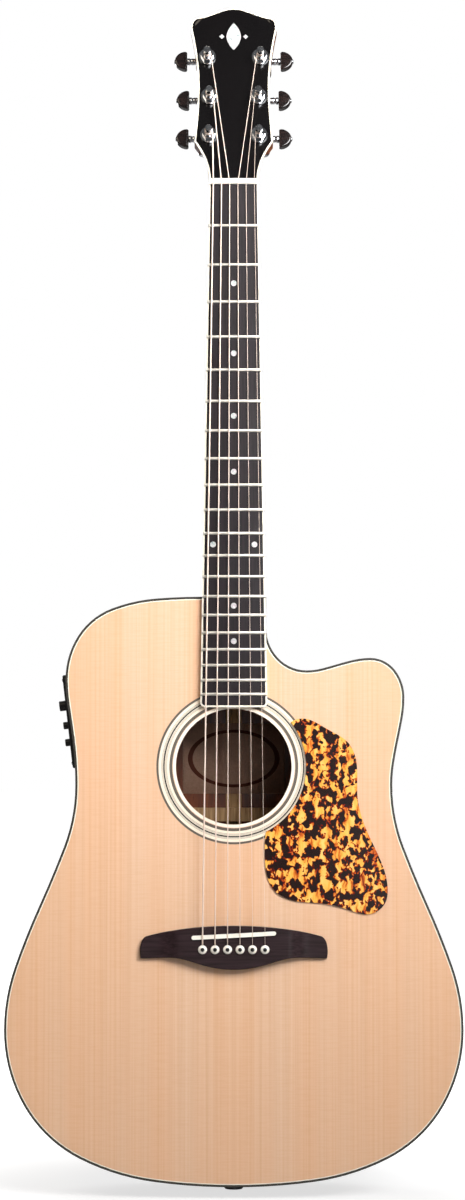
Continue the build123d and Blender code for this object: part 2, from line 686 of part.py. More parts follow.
with BuildPart() as fretboard:
    extrude(board_outline(board_binding_t, board_end_z + board_binding_t, board_corner_r - board_binding_t),
            amount=board_t)
    add(crowned(board_t), mode=Mode.INTERSECT)
    with BuildSketch(behind(dot_deep - board_t)):
        with Locations(*dot_spots):
            Circle(dot_r)
    extrude(amount=board_t, mode=Mode.SUBTRACT)
    add(tangs, mode=Mode.SUBTRACT)
save(fretboard, "fretboard")

with BuildPart() as fretboard_binding:
    extrude(board_outline(0, board_end_z, board_corner_r), amount=board_t)
    extrude(board_outline(board_binding_t, board_end_z + board_binding_t, board_corner_r - board_binding_t),
            amount=board_t, mode=Mode.SUBTRACT)
    add(crowned(board_t), mode=Mode.INTERSECT)
save(fretboard_binding, "fretboard_binding")

with BuildPart() as fret_markers:
    with BuildSketch(behind(dot_deep - board_t)):
        with Locations(*dot_spots):
            Circle(dot_r)
    extrude(amount=board_t)
    add(crowned(board_t), mode=Mode.INTERSECT)
save(fret_markers, "fret_markers")

with BuildPart() as frets:
    for number, tang in zip(range(1, fret_count + 1), tangs):
        add(arched_wire(number, half_width(fret_z(number)) - 0.3, board_radius, board_radius + fret_h, fret_w))
        add(tang)
save(frets, "frets")

# ---------------------------------------------------------------- strings
def string_points(number):
    """The line of one string's centre: by its bridge pin, over the saddle and the nut, to its post."""
    radius = string_radii[number]
    x_low, x_high = string_x(number, saddle_spread), string_x(number, nut_spread)
    over_saddle = saddle_z + saddle_slant * x_low / (saddle_long / 2)
    bass = number < len(posts) / 2
    row = number if bass else len(posts) - 1 - number
    side = -1 if bass else 1
    beside = side * (post_x[row] - waist_r - radius - string_gap)
    return [Vector(x_low, front_y - bridge_h - radius - 0.05, pin_z + pin_head_r + string_gap),
            Vector(x_low, front_y - saddle_top - radius - 0.05 + crown_drop(x_low), over_saddle),
            Vector(x_high, front_y - nut_string_h - radius / 2 + crown_drop(x_high), nut_z + 1),
            head_point(beside, post_at[row], wrap_height)]


def string_solid(number, radius, reach=4):
    """One string as straight round runs with a ball at each bend."""
    points = string_points(number)[:reach]
    with BuildPart() as wire:
        for start, end in zip(points, points[1:]):
            with BuildSketch(Plane(origin=start, z_dir=end - start)):
                Circle(radius)
            extrude(amount=(end - start).length)
        with Locations(*points[1:-1]):
            Sphere(radius)
    return wire.part


with BuildPart() as strings:
    for number, radius in enumerate(string_radii):
        add(string_solid(number, radius))
save(strings, "strings")

with BuildPart() as nut:
    extrude(nut_profile(), amount=half_width(nut_z), both=True)
    add(crowned(nut_top), mode=Mode.INTERSECT)
    # Each slot is two round grooves, one along each run of its string, that cross at the bend.
    for number, radius in enumerate(string_radii):
        bend = string_points(number)[2]
        for neighbour in string_points(number)[1::2]:
            run = (neighbour - bend).normalized()
            with BuildSketch(Plane(origin=bend - run * 2 * radius, z_dir=run)):
                Circle(radius + slot_gap)
            extrude(amount=3 * nut_t, mode=Mode.SUBTRACT)
save(nut, "nut")

# ---------------------------------------------------------------- headstock face
inlay_half, inlay_tall, leaf_from_centre, leaf_size = 6.5, 13, 10.5, 2.2


def inlay_shapes():
    """A plain four-pointed lozenge with a small diamond each side of it."""
    with BuildSketch(head) as shape:
        with BuildLine():
            RadiusArc((0, inlay_at + inlay_tall), (inlay_half, inlay_at), inlay_tall * 1.6)
            RadiusArc((inlay_half, inlay_at), (0, inlay_at - inlay_tall), inlay_tall * 1.6)
            RadiusArc((0, inlay_at - inlay_tall), (-inlay_half, inlay_at), inlay_tall * 1.6)
            RadiusArc((-inlay_half, inlay_at), (0, inlay_at + inlay_tall), inlay_tall * 1.6)
        make_face()
        with Locations((-leaf_from_centre, inlay_at), (leaf_from_centre, inlay_at)):
            RegularPolygon(leaf_size, 4)
    return shape.sketch


with BuildPart() as headstock_veneer:
    extrude(head_outline(0, head_binding_t), amount=-veneer_t)
    with BuildSketch(head):
        with Locations(*post_spots):
            Circle(bush_r + bush_fit)
    extrude(amount=-2 * veneer_t, mode=Mode.SUBTRACT)
    extrude(inlay_shapes(), amount=-inlay_deep, mode=Mode.SUBTRACT)
    with Locations((0, front_y, nut_z - past + nut_t)):
        Box(4 * neck_width_end, 4 * past, 2 * past, mode=Mode.SUBTRACT)
save(headstock_veneer, "headstock_veneer")

with BuildPart() as headstock_binding:
    extrude(head_outline(0, 0), amount=-veneer_t)
    extrude(head_outline(0, head_binding_t), amount=-veneer_t, mode=Mode.SUBTRACT)
    with Locations((0, front_y, nut_z - past + nut_t)):
        Box(4 * neck_width_end, 4 * past, 2 * past, mode=Mode.SUBTRACT)
save(headstock_binding, "headstock_binding")

with BuildPart() as headstock_inlay:
    extrude(inlay_shapes(), amount=-inlay_deep)
save(headstock_inlay, "headstock_inlay")

# ---------------------------------------------------------------- tuning machines
gear_out = -head_thick - housing_h / 2
housing_spots = [(x, at + worm_at / 2 + 0.5) for side, x, at in posts]

with BuildPart() as tuner_bushings:
    for radius, low_out, high_out in ((bush_r, -bush_long, 0), (washer_r, 0, washer_t),
                                      (bush_nut_r, washer_t, washer_t + bush_nut_h)):
        with BuildSketch(head.offset(low_out)):
            with Locations(*post_spots):
                if radius == bush_nut_r:
                    RegularPolygon(radius, 6, major_radius=True)
                else:
                    Circle(radius)
        extrude(amount=high_out - low_out)
    with BuildSketch(head.offset(-bush_long)):
        with Locations(*post_spots):
            Circle(post_r + post_gap)
    extrude(amount=2 * bush_long, mode=Mode.SUBTRACT)
save(tuner_bushings, "tuner_bushings")


def along_shaft(side, x, at, start):
    """Plane across a button's shaft, that far outboard of its post."""
    return Plane(origin=head_point(x + side * start, at + worm_at, gear_out), x_dir=head_up, z_dir=(side, 0, 0))


with BuildPart() as tuner_housings:
    with BuildSketch(head.offset(-head_thick)):
        with Locations(*housing_spots):
            RectangleRounded(housing_x, housing_s, 5)
    extrude(amount=-housing_h)
    fillet(tuner_housings.faces().sort_by(head_axis)[:len(posts)].edges(), 3)
    with BuildSketch(head.offset(-head_thick)):
        with Locations(*screw_spots):
            RectangleRounded(lug_long, lug_long + 2, 2.5)
        with Locations(*[(x, at + 3) for x, at in screw_spots]):
            Rectangle(lug_long, lug_long)
        with Locations(*screw_spots):
            Circle(tuner_screw_r + 0.1, mode=Mode.SUBTRACT)
    extrude(amount=-lug_t)
    for side, x, at in posts:
        with BuildSketch(along_shaft(side, x, at, 0)):
            Circle(collar_r)
        extrude(amount=collar_reach)
    with BuildSketch(head.offset(-head_thick)):
        with Locations(*post_spots):
            Circle(post_r + post_gap)
    extrude(amount=-housing_h + 2, mode=Mode.SUBTRACT)
    with BuildSketch(head.offset(gear_out + wheel_h / 2 + mesh_gap)):
        with Locations(*post_spots):
            Circle(wheel_r + mesh_gap)
    extrude(amount=-wheel_h - 2 * mesh_gap, mode=Mode.SUBTRACT)
    for side, x, at in posts:
        with BuildSketch(along_shaft(side, x, at, -worm_long / 2 - mesh_gap)):
            Circle(worm_r + mesh_gap)
        extrude(amount=worm_long + 2 * mesh_gap, mode=Mode.SUBTRACT)
        with BuildSketch(along_shaft(side, x, at, 0)):
            Circle(shaft_r + shaft_gap)
        extrude(amount=2 * collar_reach, mode=Mode.SUBTRACT)
save(tuner_housings, "tuner_housings")

with BuildPart() as tuner_screws:
    with BuildSketch(head.offset(-head_thick - lug_t)):
        with Locations(*screw_spots):
            Circle(tuner_screw_r)
    extrude(amount=tuner_screw_long)
    with BuildSketch(head.offset(-head_thick - lug_t)):
        with Locations(*screw_spots):
            Circle(tuner_screw_head_r)
    extrude(amount=-tuner_screw_head_h, taper=20)
save(tuner_screws, "tuner_screws")

for number, (side, x, at) in enumerate(posts, 1):
    with BuildPart() as tuner_post:
        for radius, low_out, high_out in ((post_r, -head_thick - housing_h + 2.5, waist_from),
                                          (waist_r, waist_from, waist_to), (post_r, waist_to, post_top),
                                          (wheel_r, gear_out - wheel_h / 2, gear_out + wheel_h / 2)):
            with BuildSketch(head.offset(low_out)):
                with Locations((x, at)):
                    Circle(radius)
            extrude(amount=high_out - low_out)
        chamfer(tuner_post.edges().sort_by(head_axis)[-1], 0.8)
        with BuildSketch(Plane(origin=head_point(x, at, string_hole_at), z_dir=(1, 0, 0))):
            Circle(string_hole_r)
        extrude(amount=2 * post_r, both=True, mode=Mode.SUBTRACT)
    save(tuner_post, f"tuner_post_{number}")

    with BuildPart() as tuner_shaft:
        for radius, start, end in ((worm_r, -worm_long / 2, worm_long / 2),
                                   (shaft_r, 0, button_from_post + button_seat)):
            with BuildSketch(along_shaft(side, x, at, start)):
                Circle(radius)
            extrude(amount=end - start)
    save(tuner_shaft, f"tuner_shaft_{number}")

    with BuildPart() as tuner_button:
        with BuildSketch(Plane(origin=head_point(x + side * button_from_post, at + worm_at,
                                                 gear_out - button_thick / 2),
                               x_dir=(side, 0, 0), z_dir=side * head_out)):
            with BuildLine():
                half, edge = button_wide / 2, 2.4
                Line((0, half - 1), (0, 1 - half))
                Bezier((0, 1 - half), (edge, -half - 1.2), (button_long, -half * 0.72), (button_long, 0))
                Bezier((button_long, 0), (button_long, half * 0.72), (edge, half + 1.2), (0, half - 1))
            make_face()
        extrude(amount=side * button_thick)
        fillet(tuner_button.edges(), 1.6)
        with BuildSketch(along_shaft(side, x, at, button_from_post - 1)):
            Circle(shaft_r)
        extrude(amount=button_seat + 1, mode=Mode.SUBTRACT)
    save(tuner_button, f"tuner_button_{number}")

# ---------------------------------------------------------------- bridge, saddle, pickup and pins
bridge_step_from, bridge_step_to = 46, 62
saddle_angle = degrees(atan2(2 * saddle_slant, saddle_long))


def saddle_plan():
    """Plan of the slanted saddle and of its slot."""
    with BuildSketch(behind(0)) as shape:
        with Locations((0, saddle_z)):
            SlotOverall(saddle_long, saddle_t, rotation=saddle_angle)
    return shape.sketch


with BuildPart() as bridge:
    with BuildSketch(behind(0)):
        with BuildLine():
            top_mid, top_end = (0, saddle_z + bridge_reach), (bridge_half - 5.6, saddle_z - 1)
            low_end, low_mid = (bridge_half - 1, saddle_z - 19.6), (0, saddle_z - 29.3)
            Bezier(top_mid, (28, saddle_z + bridge_reach), (54, saddle_z + 5), top_end)
            Bezier(top_end, (bridge_half, saddle_z - 4), (bridge_half, saddle_z - 14), low_end)
            Bezier(low_end, (bridge_half - 7, saddle_z - 20.3), (60, saddle_z - 18.6), (50, saddle_z - 19.4))
            Bezier((50, saddle_z - 19.4), (36, saddle_z - 20.6), (24, saddle_z - 29.3), low_mid)
            Line(low_mid, top_mid)
        make_face()
        mirror(about=Plane.YZ)
    extrude(amount=bridge_h)
    with BuildSketch(Plane.XY.offset(saddle_z - 2 * past)):
        with BuildLine():
            wing_y, crest_y = front_y - bridge_wing_h, front_y - bridge_h
            Polyline((0, front_y), (bridge_half, front_y), (bridge_half, wing_y), (bridge_step_to + 4, wing_y))
            Bezier((bridge_step_to + 4, wing_y), (bridge_step_to - 6, wing_y), (bridge_step_from + 8, crest_y),
                   (bridge_step_from, crest_y))
            Line((bridge_step_from, crest_y), (0, crest_y))
            Line((0, crest_y), (0, front_y))
        make_face()
        mirror(about=Plane.YZ)
    extrude(amount=4 * past, mode=Mode.INTERSECT)
    top_edges = bridge.edges().filter_by(lambda edge: edge.center().Y < front_y - bridge_wing_h + 0.01)
    chamfer(top_edges.filter_by(lambda edge: abs(edge.center().Z - saddle_z) > 5), 0.7)
    with BuildSketch(behind(-bridge_h)):
        with Locations(*pin_spots):
            Circle(pin_r + pin_gap)
    extrude(amount=-bridge_h, mode=Mode.SUBTRACT)
    slot = extrude(saddle_plan(), amount=2 * bridge_h, mode=Mode.PRIVATE)
    floor = extrude(saddle_plan(), amount=bridge_h - saddle_deep - pickup_t, mode=Mode.PRIVATE)
    add(slot - floor, mode=Mode.SUBTRACT)
save(bridge, "bridge")

with BuildPart() as piezo_pickup:
    extrude(saddle_plan(), amount=bridge_h - saddle_deep)
    extrude(saddle_plan(), amount=bridge_h - saddle_deep - pickup_t, mode=Mode.SUBTRACT)
save(piezo_pickup, "piezo_pickup")

with BuildPart() as saddle:
    extrude(saddle_plan(), amount=saddle_top)
    extrude(saddle_plan(), amount=bridge_h - saddle_deep, mode=Mode.SUBTRACT)
    with Locations((0, front_y - saddle_top + board_radius, saddle_z)):
        Cylinder(board_radius, 2 * saddle_long, mode=Mode.INTERSECT)
    for number, radius in enumerate(string_radii):
        add(string_solid(number, radius + slot_gap), mode=Mode.SUBTRACT)
save(saddle, "saddle")

with BuildPart() as bridge_pins:
    for x, z in pin_spots:
        with BuildSketch(Plane(origin=(x, 0, z), x_dir=(1, 0, 0), z_dir=(0, 0, 1))):
            with BuildLine():
                seat, point = front_y - bridge_h, front_y - bridge_h + pin_long
                Polyline((0, point), (pin_tip_r, point), (pin_r, seat), (pin_head_r * 0.8, seat))
                Bezier((pin_head_r * 0.8, seat), (pin_head_r * 1.15, seat - pin_head_h * 0.2),
                       (pin_head_r * 0.8, seat - pin_head_h), (0, seat - pin_head_h))
                Line((0, seat - pin_head_h), (0, point))
            make_face()
        revolve(axis=Axis((x, 0, z), (0, 1, 0)))
save(bridge_pins, "bridge_pins")

# ---------------------------------------------------------------- preamp
tray_y = box_wide / 2 - box_wall - tray_gap - tray_wide / 2
tray_hole_long, tray_hole_wide = tray_long + 2 * tray_gap, tray_wide + 2 * tray_gap
panel_top = panel_lift + panel_t

with BuildPart() as preamp_panel:
    with BuildSketch(panel_plane.offset(panel_lift)):
        RectangleRounded(panel_long, panel_wide, panel_corner)
        with Locations((0, tray_y)):
            Rectangle(tray_hole_long, tray_hole_wide, mode=Mode.SUBTRACT)
        for along, radius, height in knobs.values():
            with Locations((along, knob_y)):
                Circle(spindle_r + shaft_gap, mode=Mode.SUBTRACT)
    extrude(amount=panel_t)
    chamfer(preamp_panel.faces().sort_by(panel_axis)[-1].outer_wire().edges(), 0.8)
save(preamp_panel, "preamp_panel")

with BuildPart() as preamp_box:
    with BuildSketch(panel_plane.offset(panel_lift)):
        Rectangle(box_long, box_wide)
    extrude(amount=-box_deep)
    with BuildSketch(panel_plane.offset(panel_lift)):
        Rectangle(box_long - 2 * box_wall, box_wide - 2 * box_wall)
    extrude(amount=box_wall - box_deep, mode=Mode.SUBTRACT)
save(preamp_box, "preamp_box")

for name, (along, radius, height) in knobs.items():
    with BuildPart() as knob:
        with BuildSketch(panel_plane.offset(panel_top + knob_lift)):
            with Locations((along, knob_y)):
                Circle(radius)
        extrude(amount=height)
        fillet(knob.faces().sort_by(panel_axis)[-1].edges(), 0.8)
        with BuildSketch(panel_plane.offset(panel_top + knob_lift)):
            with Locations((along, knob_y)):
                Circle(spindle_r)
        extrude(amount=-spindle_deep)
    save(knob, name)

tray_wall = (tray_long - battery_long) / 2 - 0.5
with BuildPart() as battery_tray:
    with BuildSketch(panel_plane.offset(panel_top)):
        with Locations((0, tray_y)):
            Rectangle(tray_long, tray_wide)
    extrude(amount=-tray_deep)
    with BuildSketch(panel_plane.offset(panel_top - tray_face_t)):
        with Locations((0, tray_y)):
            Rectangle(tray_long - 2 * tray_wall, 2 * tray_wide)
    extrude(amount=2 * tray_face_t - tray_deep, mode=Mode.SUBTRACT)
    with BuildSketch(panel_plane.offset(panel_top - tray_face_t)):
        with Locations((0, tray_y)):
            RectangleRounded(battery_long, battery_wide, 2)
    extrude(amount=2 * tray_face_t - tray_deep)
save(battery_tray, "battery_tray")

# ---------------------------------------------------------------- end-pin jack and strap button
with BuildPart() as endpin_jack:
    with BuildSketch(Plane.XZ):
        with BuildLine():
            inner_z = tail_in_z + jack_nut_h
            Polyline((jack_bore_r, 0), (jack_flange_r - 1.2, 0), (jack_flange_r - 0.4, 0.6),
                     (jack_flange_r - 0.4, 2.2), (jack_waist_r + 0.4, 3.6), (jack_waist_r + 0.4, 6.4),
                     (jack_flange_r, 8), (jack_flange_r, tail_z), (jack_barrel_r, tail_z),
                     (jack_barrel_r, tail_in_z), (jack_flange_r, tail_in_z), (jack_flange_r, inner_z),
                     (jack_barrel_r - 1, inner_z), (jack_barrel_r - 1, inner_z + 12), (0, inner_z + 12),
                     (0, jack_bore_long), (jack_bore_r, jack_bore_long), close=True)
        make_face()
    revolve(axis=Axis.Z)
save(endpin_jack, "endpin_jack")

with BuildPart() as strap_button:
    with BuildSketch(Plane(origin=(0, 0, strap_z), x_dir=(1, 0, 0), z_dir=(0, 0, 1))):
        with BuildLine():
            seat = front_y + body_depth_neck
            Polyline((0, seat - strap_screw_long), (strap_screw_r, seat - strap_screw_long),
                     (strap_screw_r, seat), (strap_r - 1.2, seat), (strap_r - 1.6, seat + 1.4))
            Bezier((strap_r - 1.6, seat + 1.4), (strap_waist_r, seat + 3), (strap_waist_r, seat + 6),
                   (strap_r - 0.6, seat + 8))
            Line((strap_r - 0.6, seat + 8), (strap_r, seat + 8.6))
            Bezier((strap_r, seat + 8.6), (strap_r, seat + 10.4), (strap_r * 0.6, seat + strap_h),
                   (0, seat + strap_h))
            Line((0, seat + strap_h), (0, seat - strap_screw_long))
        make_face()
    revolve(axis=Axis((0, 0, strap_z), (0, 1, 0)))
save(strap_button, "strap_button")
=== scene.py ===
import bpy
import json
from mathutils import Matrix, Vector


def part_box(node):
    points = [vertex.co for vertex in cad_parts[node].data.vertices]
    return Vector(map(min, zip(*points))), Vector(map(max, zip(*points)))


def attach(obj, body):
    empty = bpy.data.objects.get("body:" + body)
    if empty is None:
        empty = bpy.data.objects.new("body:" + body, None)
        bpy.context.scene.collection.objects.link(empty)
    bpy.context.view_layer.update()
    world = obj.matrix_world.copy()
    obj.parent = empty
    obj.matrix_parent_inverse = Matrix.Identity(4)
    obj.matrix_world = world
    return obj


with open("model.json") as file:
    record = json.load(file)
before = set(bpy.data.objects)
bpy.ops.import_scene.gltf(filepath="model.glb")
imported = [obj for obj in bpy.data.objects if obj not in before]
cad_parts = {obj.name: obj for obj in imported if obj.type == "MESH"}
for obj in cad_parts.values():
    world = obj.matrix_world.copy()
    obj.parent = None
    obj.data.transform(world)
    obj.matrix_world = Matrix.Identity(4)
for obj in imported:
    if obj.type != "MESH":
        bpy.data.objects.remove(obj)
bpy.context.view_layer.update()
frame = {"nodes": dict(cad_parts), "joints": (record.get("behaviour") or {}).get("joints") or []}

# %% [markdown]
# # A flat-top acoustic guitar, from bare wood to finish
# The guitar's pieces arrive already cut to size and in place: +Z runs up the neck, -Y is the
# soundboard side and +X the treble side, all in metres. What is left is the work of a finisher:
# the woods, bindings, inlays and metal, the small pieces that are easier to draw as surfaces
# than to machine, and a studio to look at it in.

# %% Imports and units
import json
from math import radians
import bpy
import numpy as np
from mathutils import Vector

mm = 0.001
nodes = frame["nodes"]
joints = {joint["name"]: joint for joint in frame["joints"]}

# %% [markdown]
# ## Measuring the pieces
# A finisher marks out from the work itself, not from a drawing. The middle of the rosette is the
# middle of the soundhole, the front of the soundboard is the plane that the rosette is let into,
# and the fretboard's box gives the line of the neck. Taking these from the pieces means that the
# patterns stay on them if a size changes.

# %% Places taken from the pieces
def middle(name):
    """The centre of a piece's box."""
    low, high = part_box(name)
    return (low + high) / 2

hole = middle("rosette")
front_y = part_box("soundboard")[0].y
centre_x = middle("fretboard").x
print("soundhole centre", [round(c, 4) for c in hole], "front", round(front_y, 4))

# %% [markdown]
# ## Smooth shading for machined pieces
# The pieces come as loose triangles, as from a cutting file, so a curved side would show facets.
# Marking every face smooth would round the real corners too. A Weld joins the triangles, and an
# Edge Split at 30 degrees parts them again only where the surface truly turns, which is what a
# scraper does: it blends the curves and leaves the arrises.

# %% Shade the pieces
def blend_facets(piece, corner=30):
    """Joins loose triangles and keeps as edges only those where faces meet at more than corner degrees."""
    piece.data.polygons.foreach_set("use_smooth", np.ones(len(piece.data.polygons), bool))
    weld = piece.modifiers.new("join_triangles", "WELD")
    weld.merge_threshold = 0.002 * mm
    split = piece.modifiers.new("keep_corners", "EDGE_SPLIT")
    split.split_angle = radians(corner)
    split.use_edge_sharp = False

for piece in nodes.values():
    blend_facets(piece)
print(len(nodes), "pieces shaded")

# %% [markdown]
# ## Two tools for every finish
# Colours are written as a painter's sRGB hex codes, and light is worked out in linear values, so
# one function turns one into the other. A finish is a small network of nodes. One function adds
# any node with its settings, its values and its links, so that each finish reads as a list of
# what it is made from.

# %% Colour and node tools
def linear(code):
    """An sRGB hex code as linear red, green, blue and alpha 1."""
    srgb = np.array([int(code[i:i + 2], 16) for i in (1, 3, 5)]) / 255
    return (*np.where(srgb <= 0.04045, srgb / 12.92, ((srgb + 0.055) / 1.055) ** 2.4), 1.0)

def add(tree, kind, inputs=None, stops=None, **settings):
    """Adds a node. inputs gives each socket, by name or number, a value or the socket that feeds it;
    stops gives a colour ramp its (place, hex) pairs."""
    made = tree.nodes.new(kind)
    for name, value in settings.items():
        setattr(made, name, value)
    for key, value in (inputs or {}).items():
        if isinstance(value, bpy.types.NodeSocket):
            tree.links.new(value, made.inputs[key])
        else:
            made.inputs[key].default_value = value
    if stops:
        ramp = made.color_ramp
        ramp.elements.remove(ramp.elements[1])
        ramp.elements[0].position, ramp.elements[0].color = stops[0][0], linear(stops[0][1])
        for place, code in stops[1:]:
            ramp.elements.new(place).color = linear(code)
    return made

def new_finish(name):
    """An empty material: its tree, and the Object coordinates that its patterns are drawn in."""
    made = bpy.data.materials.new(name)
    made.use_nodes = True
    made.node_tree.nodes.clear()
    return made, made.node_tree, add(made.node_tree, "ShaderNodeTexCoord").outputs["Object"]

def complete(made, surface):
    """Connects the surface to the material's output."""
    out = add(made.node_tree, "ShaderNodeOutputMaterial", {"Surface": surface.outputs["BSDF"]})
    out.is_active_output = True
    return made

def dress(made, *names):
    """Gives the finish to these pieces."""
    for name in names:
        nodes[name].data.materials.clear()
        nodes[name].data.materials.append(made)
    print(made.name, "on", ", ".join(names))

# %% [markdown]
# ## The soundboard: Sitka spruce under clear gloss
# A soundboard is sawn on the quarter and opened like a book, so its fine straight growth rings
# run up the neck's line and mirror each other about the middle joint. The grain is drawn by
# squeezing a noise across the width and stretching it along the length. Using the distance from
# the middle instead of the position gives the book match for nothing. Real rings are 1 to 2 mm
# apart, drawn 2.2 mm apart so that they still read from across a room. Faint silk, the wood's
# rays cut along their length, lies across the rings in short dashes. The lacquer is a coat of its
# own: smooth and clear, over a satin wood.

# %% Soundboard finish
ring_gap, ring_run, bands_across, bands_along = 2.2 * mm, 2.2, 38, 1.3
spruce, tree, place = new_finish("lacquered_sitka_spruce")
across = add(tree, "ShaderNodeSeparateXYZ", {0: place})
from_middle = add(tree, "ShaderNodeMath", {0: across.outputs["X"]}, operation="ABSOLUTE")
opened = add(tree, "ShaderNodeCombineXYZ", {"X": from_middle.outputs[0], "Z": across.outputs["Z"]})
rings = add(tree, "ShaderNodeMapping", {"Vector": opened.outputs[0], "Scale": (1 / ring_gap, 1, ring_run)})
ring = add(tree, "ShaderNodeTexNoise", {"Vector": rings.outputs[0], "Scale": 1.0, "Detail": 3.0,
                                       "Roughness": 0.55, "Distortion": 0.15})
broad = add(tree, "ShaderNodeMapping", {"Vector": opened.outputs[0], "Scale": (bands_across, 1, bands_along)})
band = add(tree, "ShaderNodeTexNoise", {"Vector": broad.outputs[0], "Scale": 1.0, "Detail": 2.0})
tone = add(tree, "ShaderNodeValToRGB", {"Fac": ring.outputs["Fac"]},
           stops=[(0.22, "#d7ab87"), (0.50, "#dfb899"), (0.78, "#e3c0a3")])
shade = add(tree, "ShaderNodeValToRGB", {"Fac": band.outputs["Fac"]},
            stops=[(0.35, "#fff3e6"), (0.65, "#ffffff")])
wood = add(tree, "ShaderNodeMix", {"Factor": 0.8, 6: tone.outputs[0], 7: shade.outputs[0]},
           data_type="RGBA", blend_type="MULTIPLY")
dash_wide, dash_high = 18 * mm, 1.1 * mm
rays = add(tree, "ShaderNodeMapping", {"Vector": opened.outputs[0],
                                       "Scale": (1 / dash_wide, 1, 1 / dash_high)})
ray = add(tree, "ShaderNodeTexNoise", {"Vector": rays.outputs[0], "Scale": 1.0, "Detail": 2.0})
silk = add(tree, "ShaderNodeValToRGB", {"Fac": ray.outputs["Fac"]},
           stops=[(0.38, "#f3e6d6"), (0.55, "#ffffff")])
wood = add(tree, "ShaderNodeMix", {"Factor": 0.22, 6: wood.outputs[2], 7: silk.outputs[0]},
           data_type="RGBA", blend_type="MULTIPLY")
relief = add(tree, "ShaderNodeBump", {"Height": ring.outputs["Fac"], "Strength": 0.03, "Distance": 0.1 * mm})
surface = add(tree, "ShaderNodeBsdfPrincipled", {
    "Base Color": wood.outputs[2], "Roughness": 0.42, "IOR": 1.5, "Normal": relief.outputs[0],
    "Coat Weight": 0.6, "Coat Roughness": 0.08, "Coat IOR": 1.5})
dress(complete(spruce, surface), "soundboard")
print("spruce rings drawn", round(ring_gap / mm, 1), "mm apart")

# %% [markdown]
# ## The rosette: rings let in flush and lacquered over
# A rosette is a set of strips bent round the soundhole in a routed channel. Drawing each strip as
# a piece would give thirteen thin rings that touch. They lie flush, so a colour that depends only
# on the distance from the hole's centre shows the same thing. The strips' inner edges are listed
# in millimetres from the centre, as they would be on a cutting list. The first entry fills what
# lies inside the first strip.

# %% Rosette finish
strips = [(0.0, "#fff2e0"), (53.1, "#5d544a"), (55.4, "#f6e6d2"), (57.7, "#8d8578"), (58.1, "#e8dcc8"),
          (58.6, "#8d8578"), (59.0, "#f0e2cc"), (59.5, "#26211d"), (60.7, "#f0e2cc"), (61.1, "#8d8578"),
          (61.5, "#e8dcc8"), (62.0, "#8d8578"), (62.4, "#f6e6d2"), (64.7, "#5d544a")]
reach, ring_plane = 80, (1, 0, 1)
inlay, tree, place = new_finish("rosette_strips")
flat = add(tree, "ShaderNodeVectorMath", {0: place, 1: (hole.x, 0, hole.z)}, operation="SUBTRACT")
flat = add(tree, "ShaderNodeVectorMath", {0: flat.outputs[0], 1: ring_plane}, operation="MULTIPLY")
radius = add(tree, "ShaderNodeVectorMath", {0: flat.outputs[0]}, operation="LENGTH")
share = add(tree, "ShaderNodeMath", {0: radius.outputs["Value"], 1: 1 / (reach * mm)}, operation="MULTIPLY")
ramp = add(tree, "ShaderNodeValToRGB", {"Fac": share.outputs[0]},
           stops=[(start / reach, code) for start, code in strips])
ramp.color_ramp.interpolation = "CONSTANT"
surface = add(tree, "ShaderNodeBsdfPrincipled", {
    "Base Color": ramp.outputs[0], "Roughness": 0.4, "IOR": 1.5, "Coat Weight": 0.6,
    "Coat Roughness": 0.08, "Coat IOR": 1.5})
dress(complete(inlay, surface), "rosette")
print(len(strips) - 1, "strips in the rosette")

# %% [markdown]
# ## Mahogany for the body and the neck
# Mahogany is red-brown with short dark pores that run with the grain, like pencil ticks. The
# broad colour comes from one stretched noise and the pores from a finer one that only darkens
# where it is strongest. The sides are bent with the grain running round the body. The body's
# sides and back are polished to a gloss; the neck is the same wood with a satin finish that a
# hand slides on, so one recipe serves with two sheens.

# %% Mahogany finishes
def mahogany(name, dark, mid, light, coat, roughness, bent=False):
    """Colour runs dark to light along a noise stretched up Z, and along X too where the wood is bent round
    the body; pores are a finer noise, cut off at its top."""
    made, tree, place = new_finish(name)
    figure_wide, figure_long, pore_wide, pore_long = 1 / (9 * mm), 4, 1 / (0.8 * mm), 1 / (14 * mm)
    grain = add(tree, "ShaderNodeMapping", {
        "Vector": place, "Scale": (figure_long if bent else figure_wide, figure_wide, figure_long)})
    figure = add(tree, "ShaderNodeTexNoise", {"Vector": grain.outputs[0], "Scale": 1.0, "Detail": 4.0,
                                             "Distortion": 0.5})
    tone = add(tree, "ShaderNodeValToRGB", {"Fac": figure.outputs["Fac"]},
               stops=[(0.3, dark), (0.5, mid), (0.72, light)])
    fine = add(tree, "ShaderNodeMapping", {
        "Vector": place, "Scale": (pore_long if bent else pore_wide, pore_wide, pore_long)})
    pore = add(tree, "ShaderNodeTexNoise", {"Vector": fine.outputs[0], "Scale": 1.0, "Detail": 1.0})
    depth = add(tree, "ShaderNodeMapRange", {"Value": pore.outputs["Fac"], "From Min": 0.60, "From Max": 0.72,
                                             "To Min": 0.0, "To Max": 1.0})
    wood = add(tree, "ShaderNodeMix", {"Factor": depth.outputs[0], 6: tone.outputs[0], 7: linear(dark)},
               data_type="RGBA")
    relief = add(tree, "ShaderNodeBump", {"Height": pore.outputs["Fac"], "Strength": 0.06,
                                          "Distance": 0.2 * mm})
    surface = add(tree, "ShaderNodeBsdfPrincipled", {
        "Base Color": wood.outputs[2], "Roughness": roughness, "IOR": 1.5, "Normal": relief.outputs[0],
        "Coat Weight": coat, "Coat Roughness": 0.06, "Coat IOR": 1.5})
    return complete(made, surface)

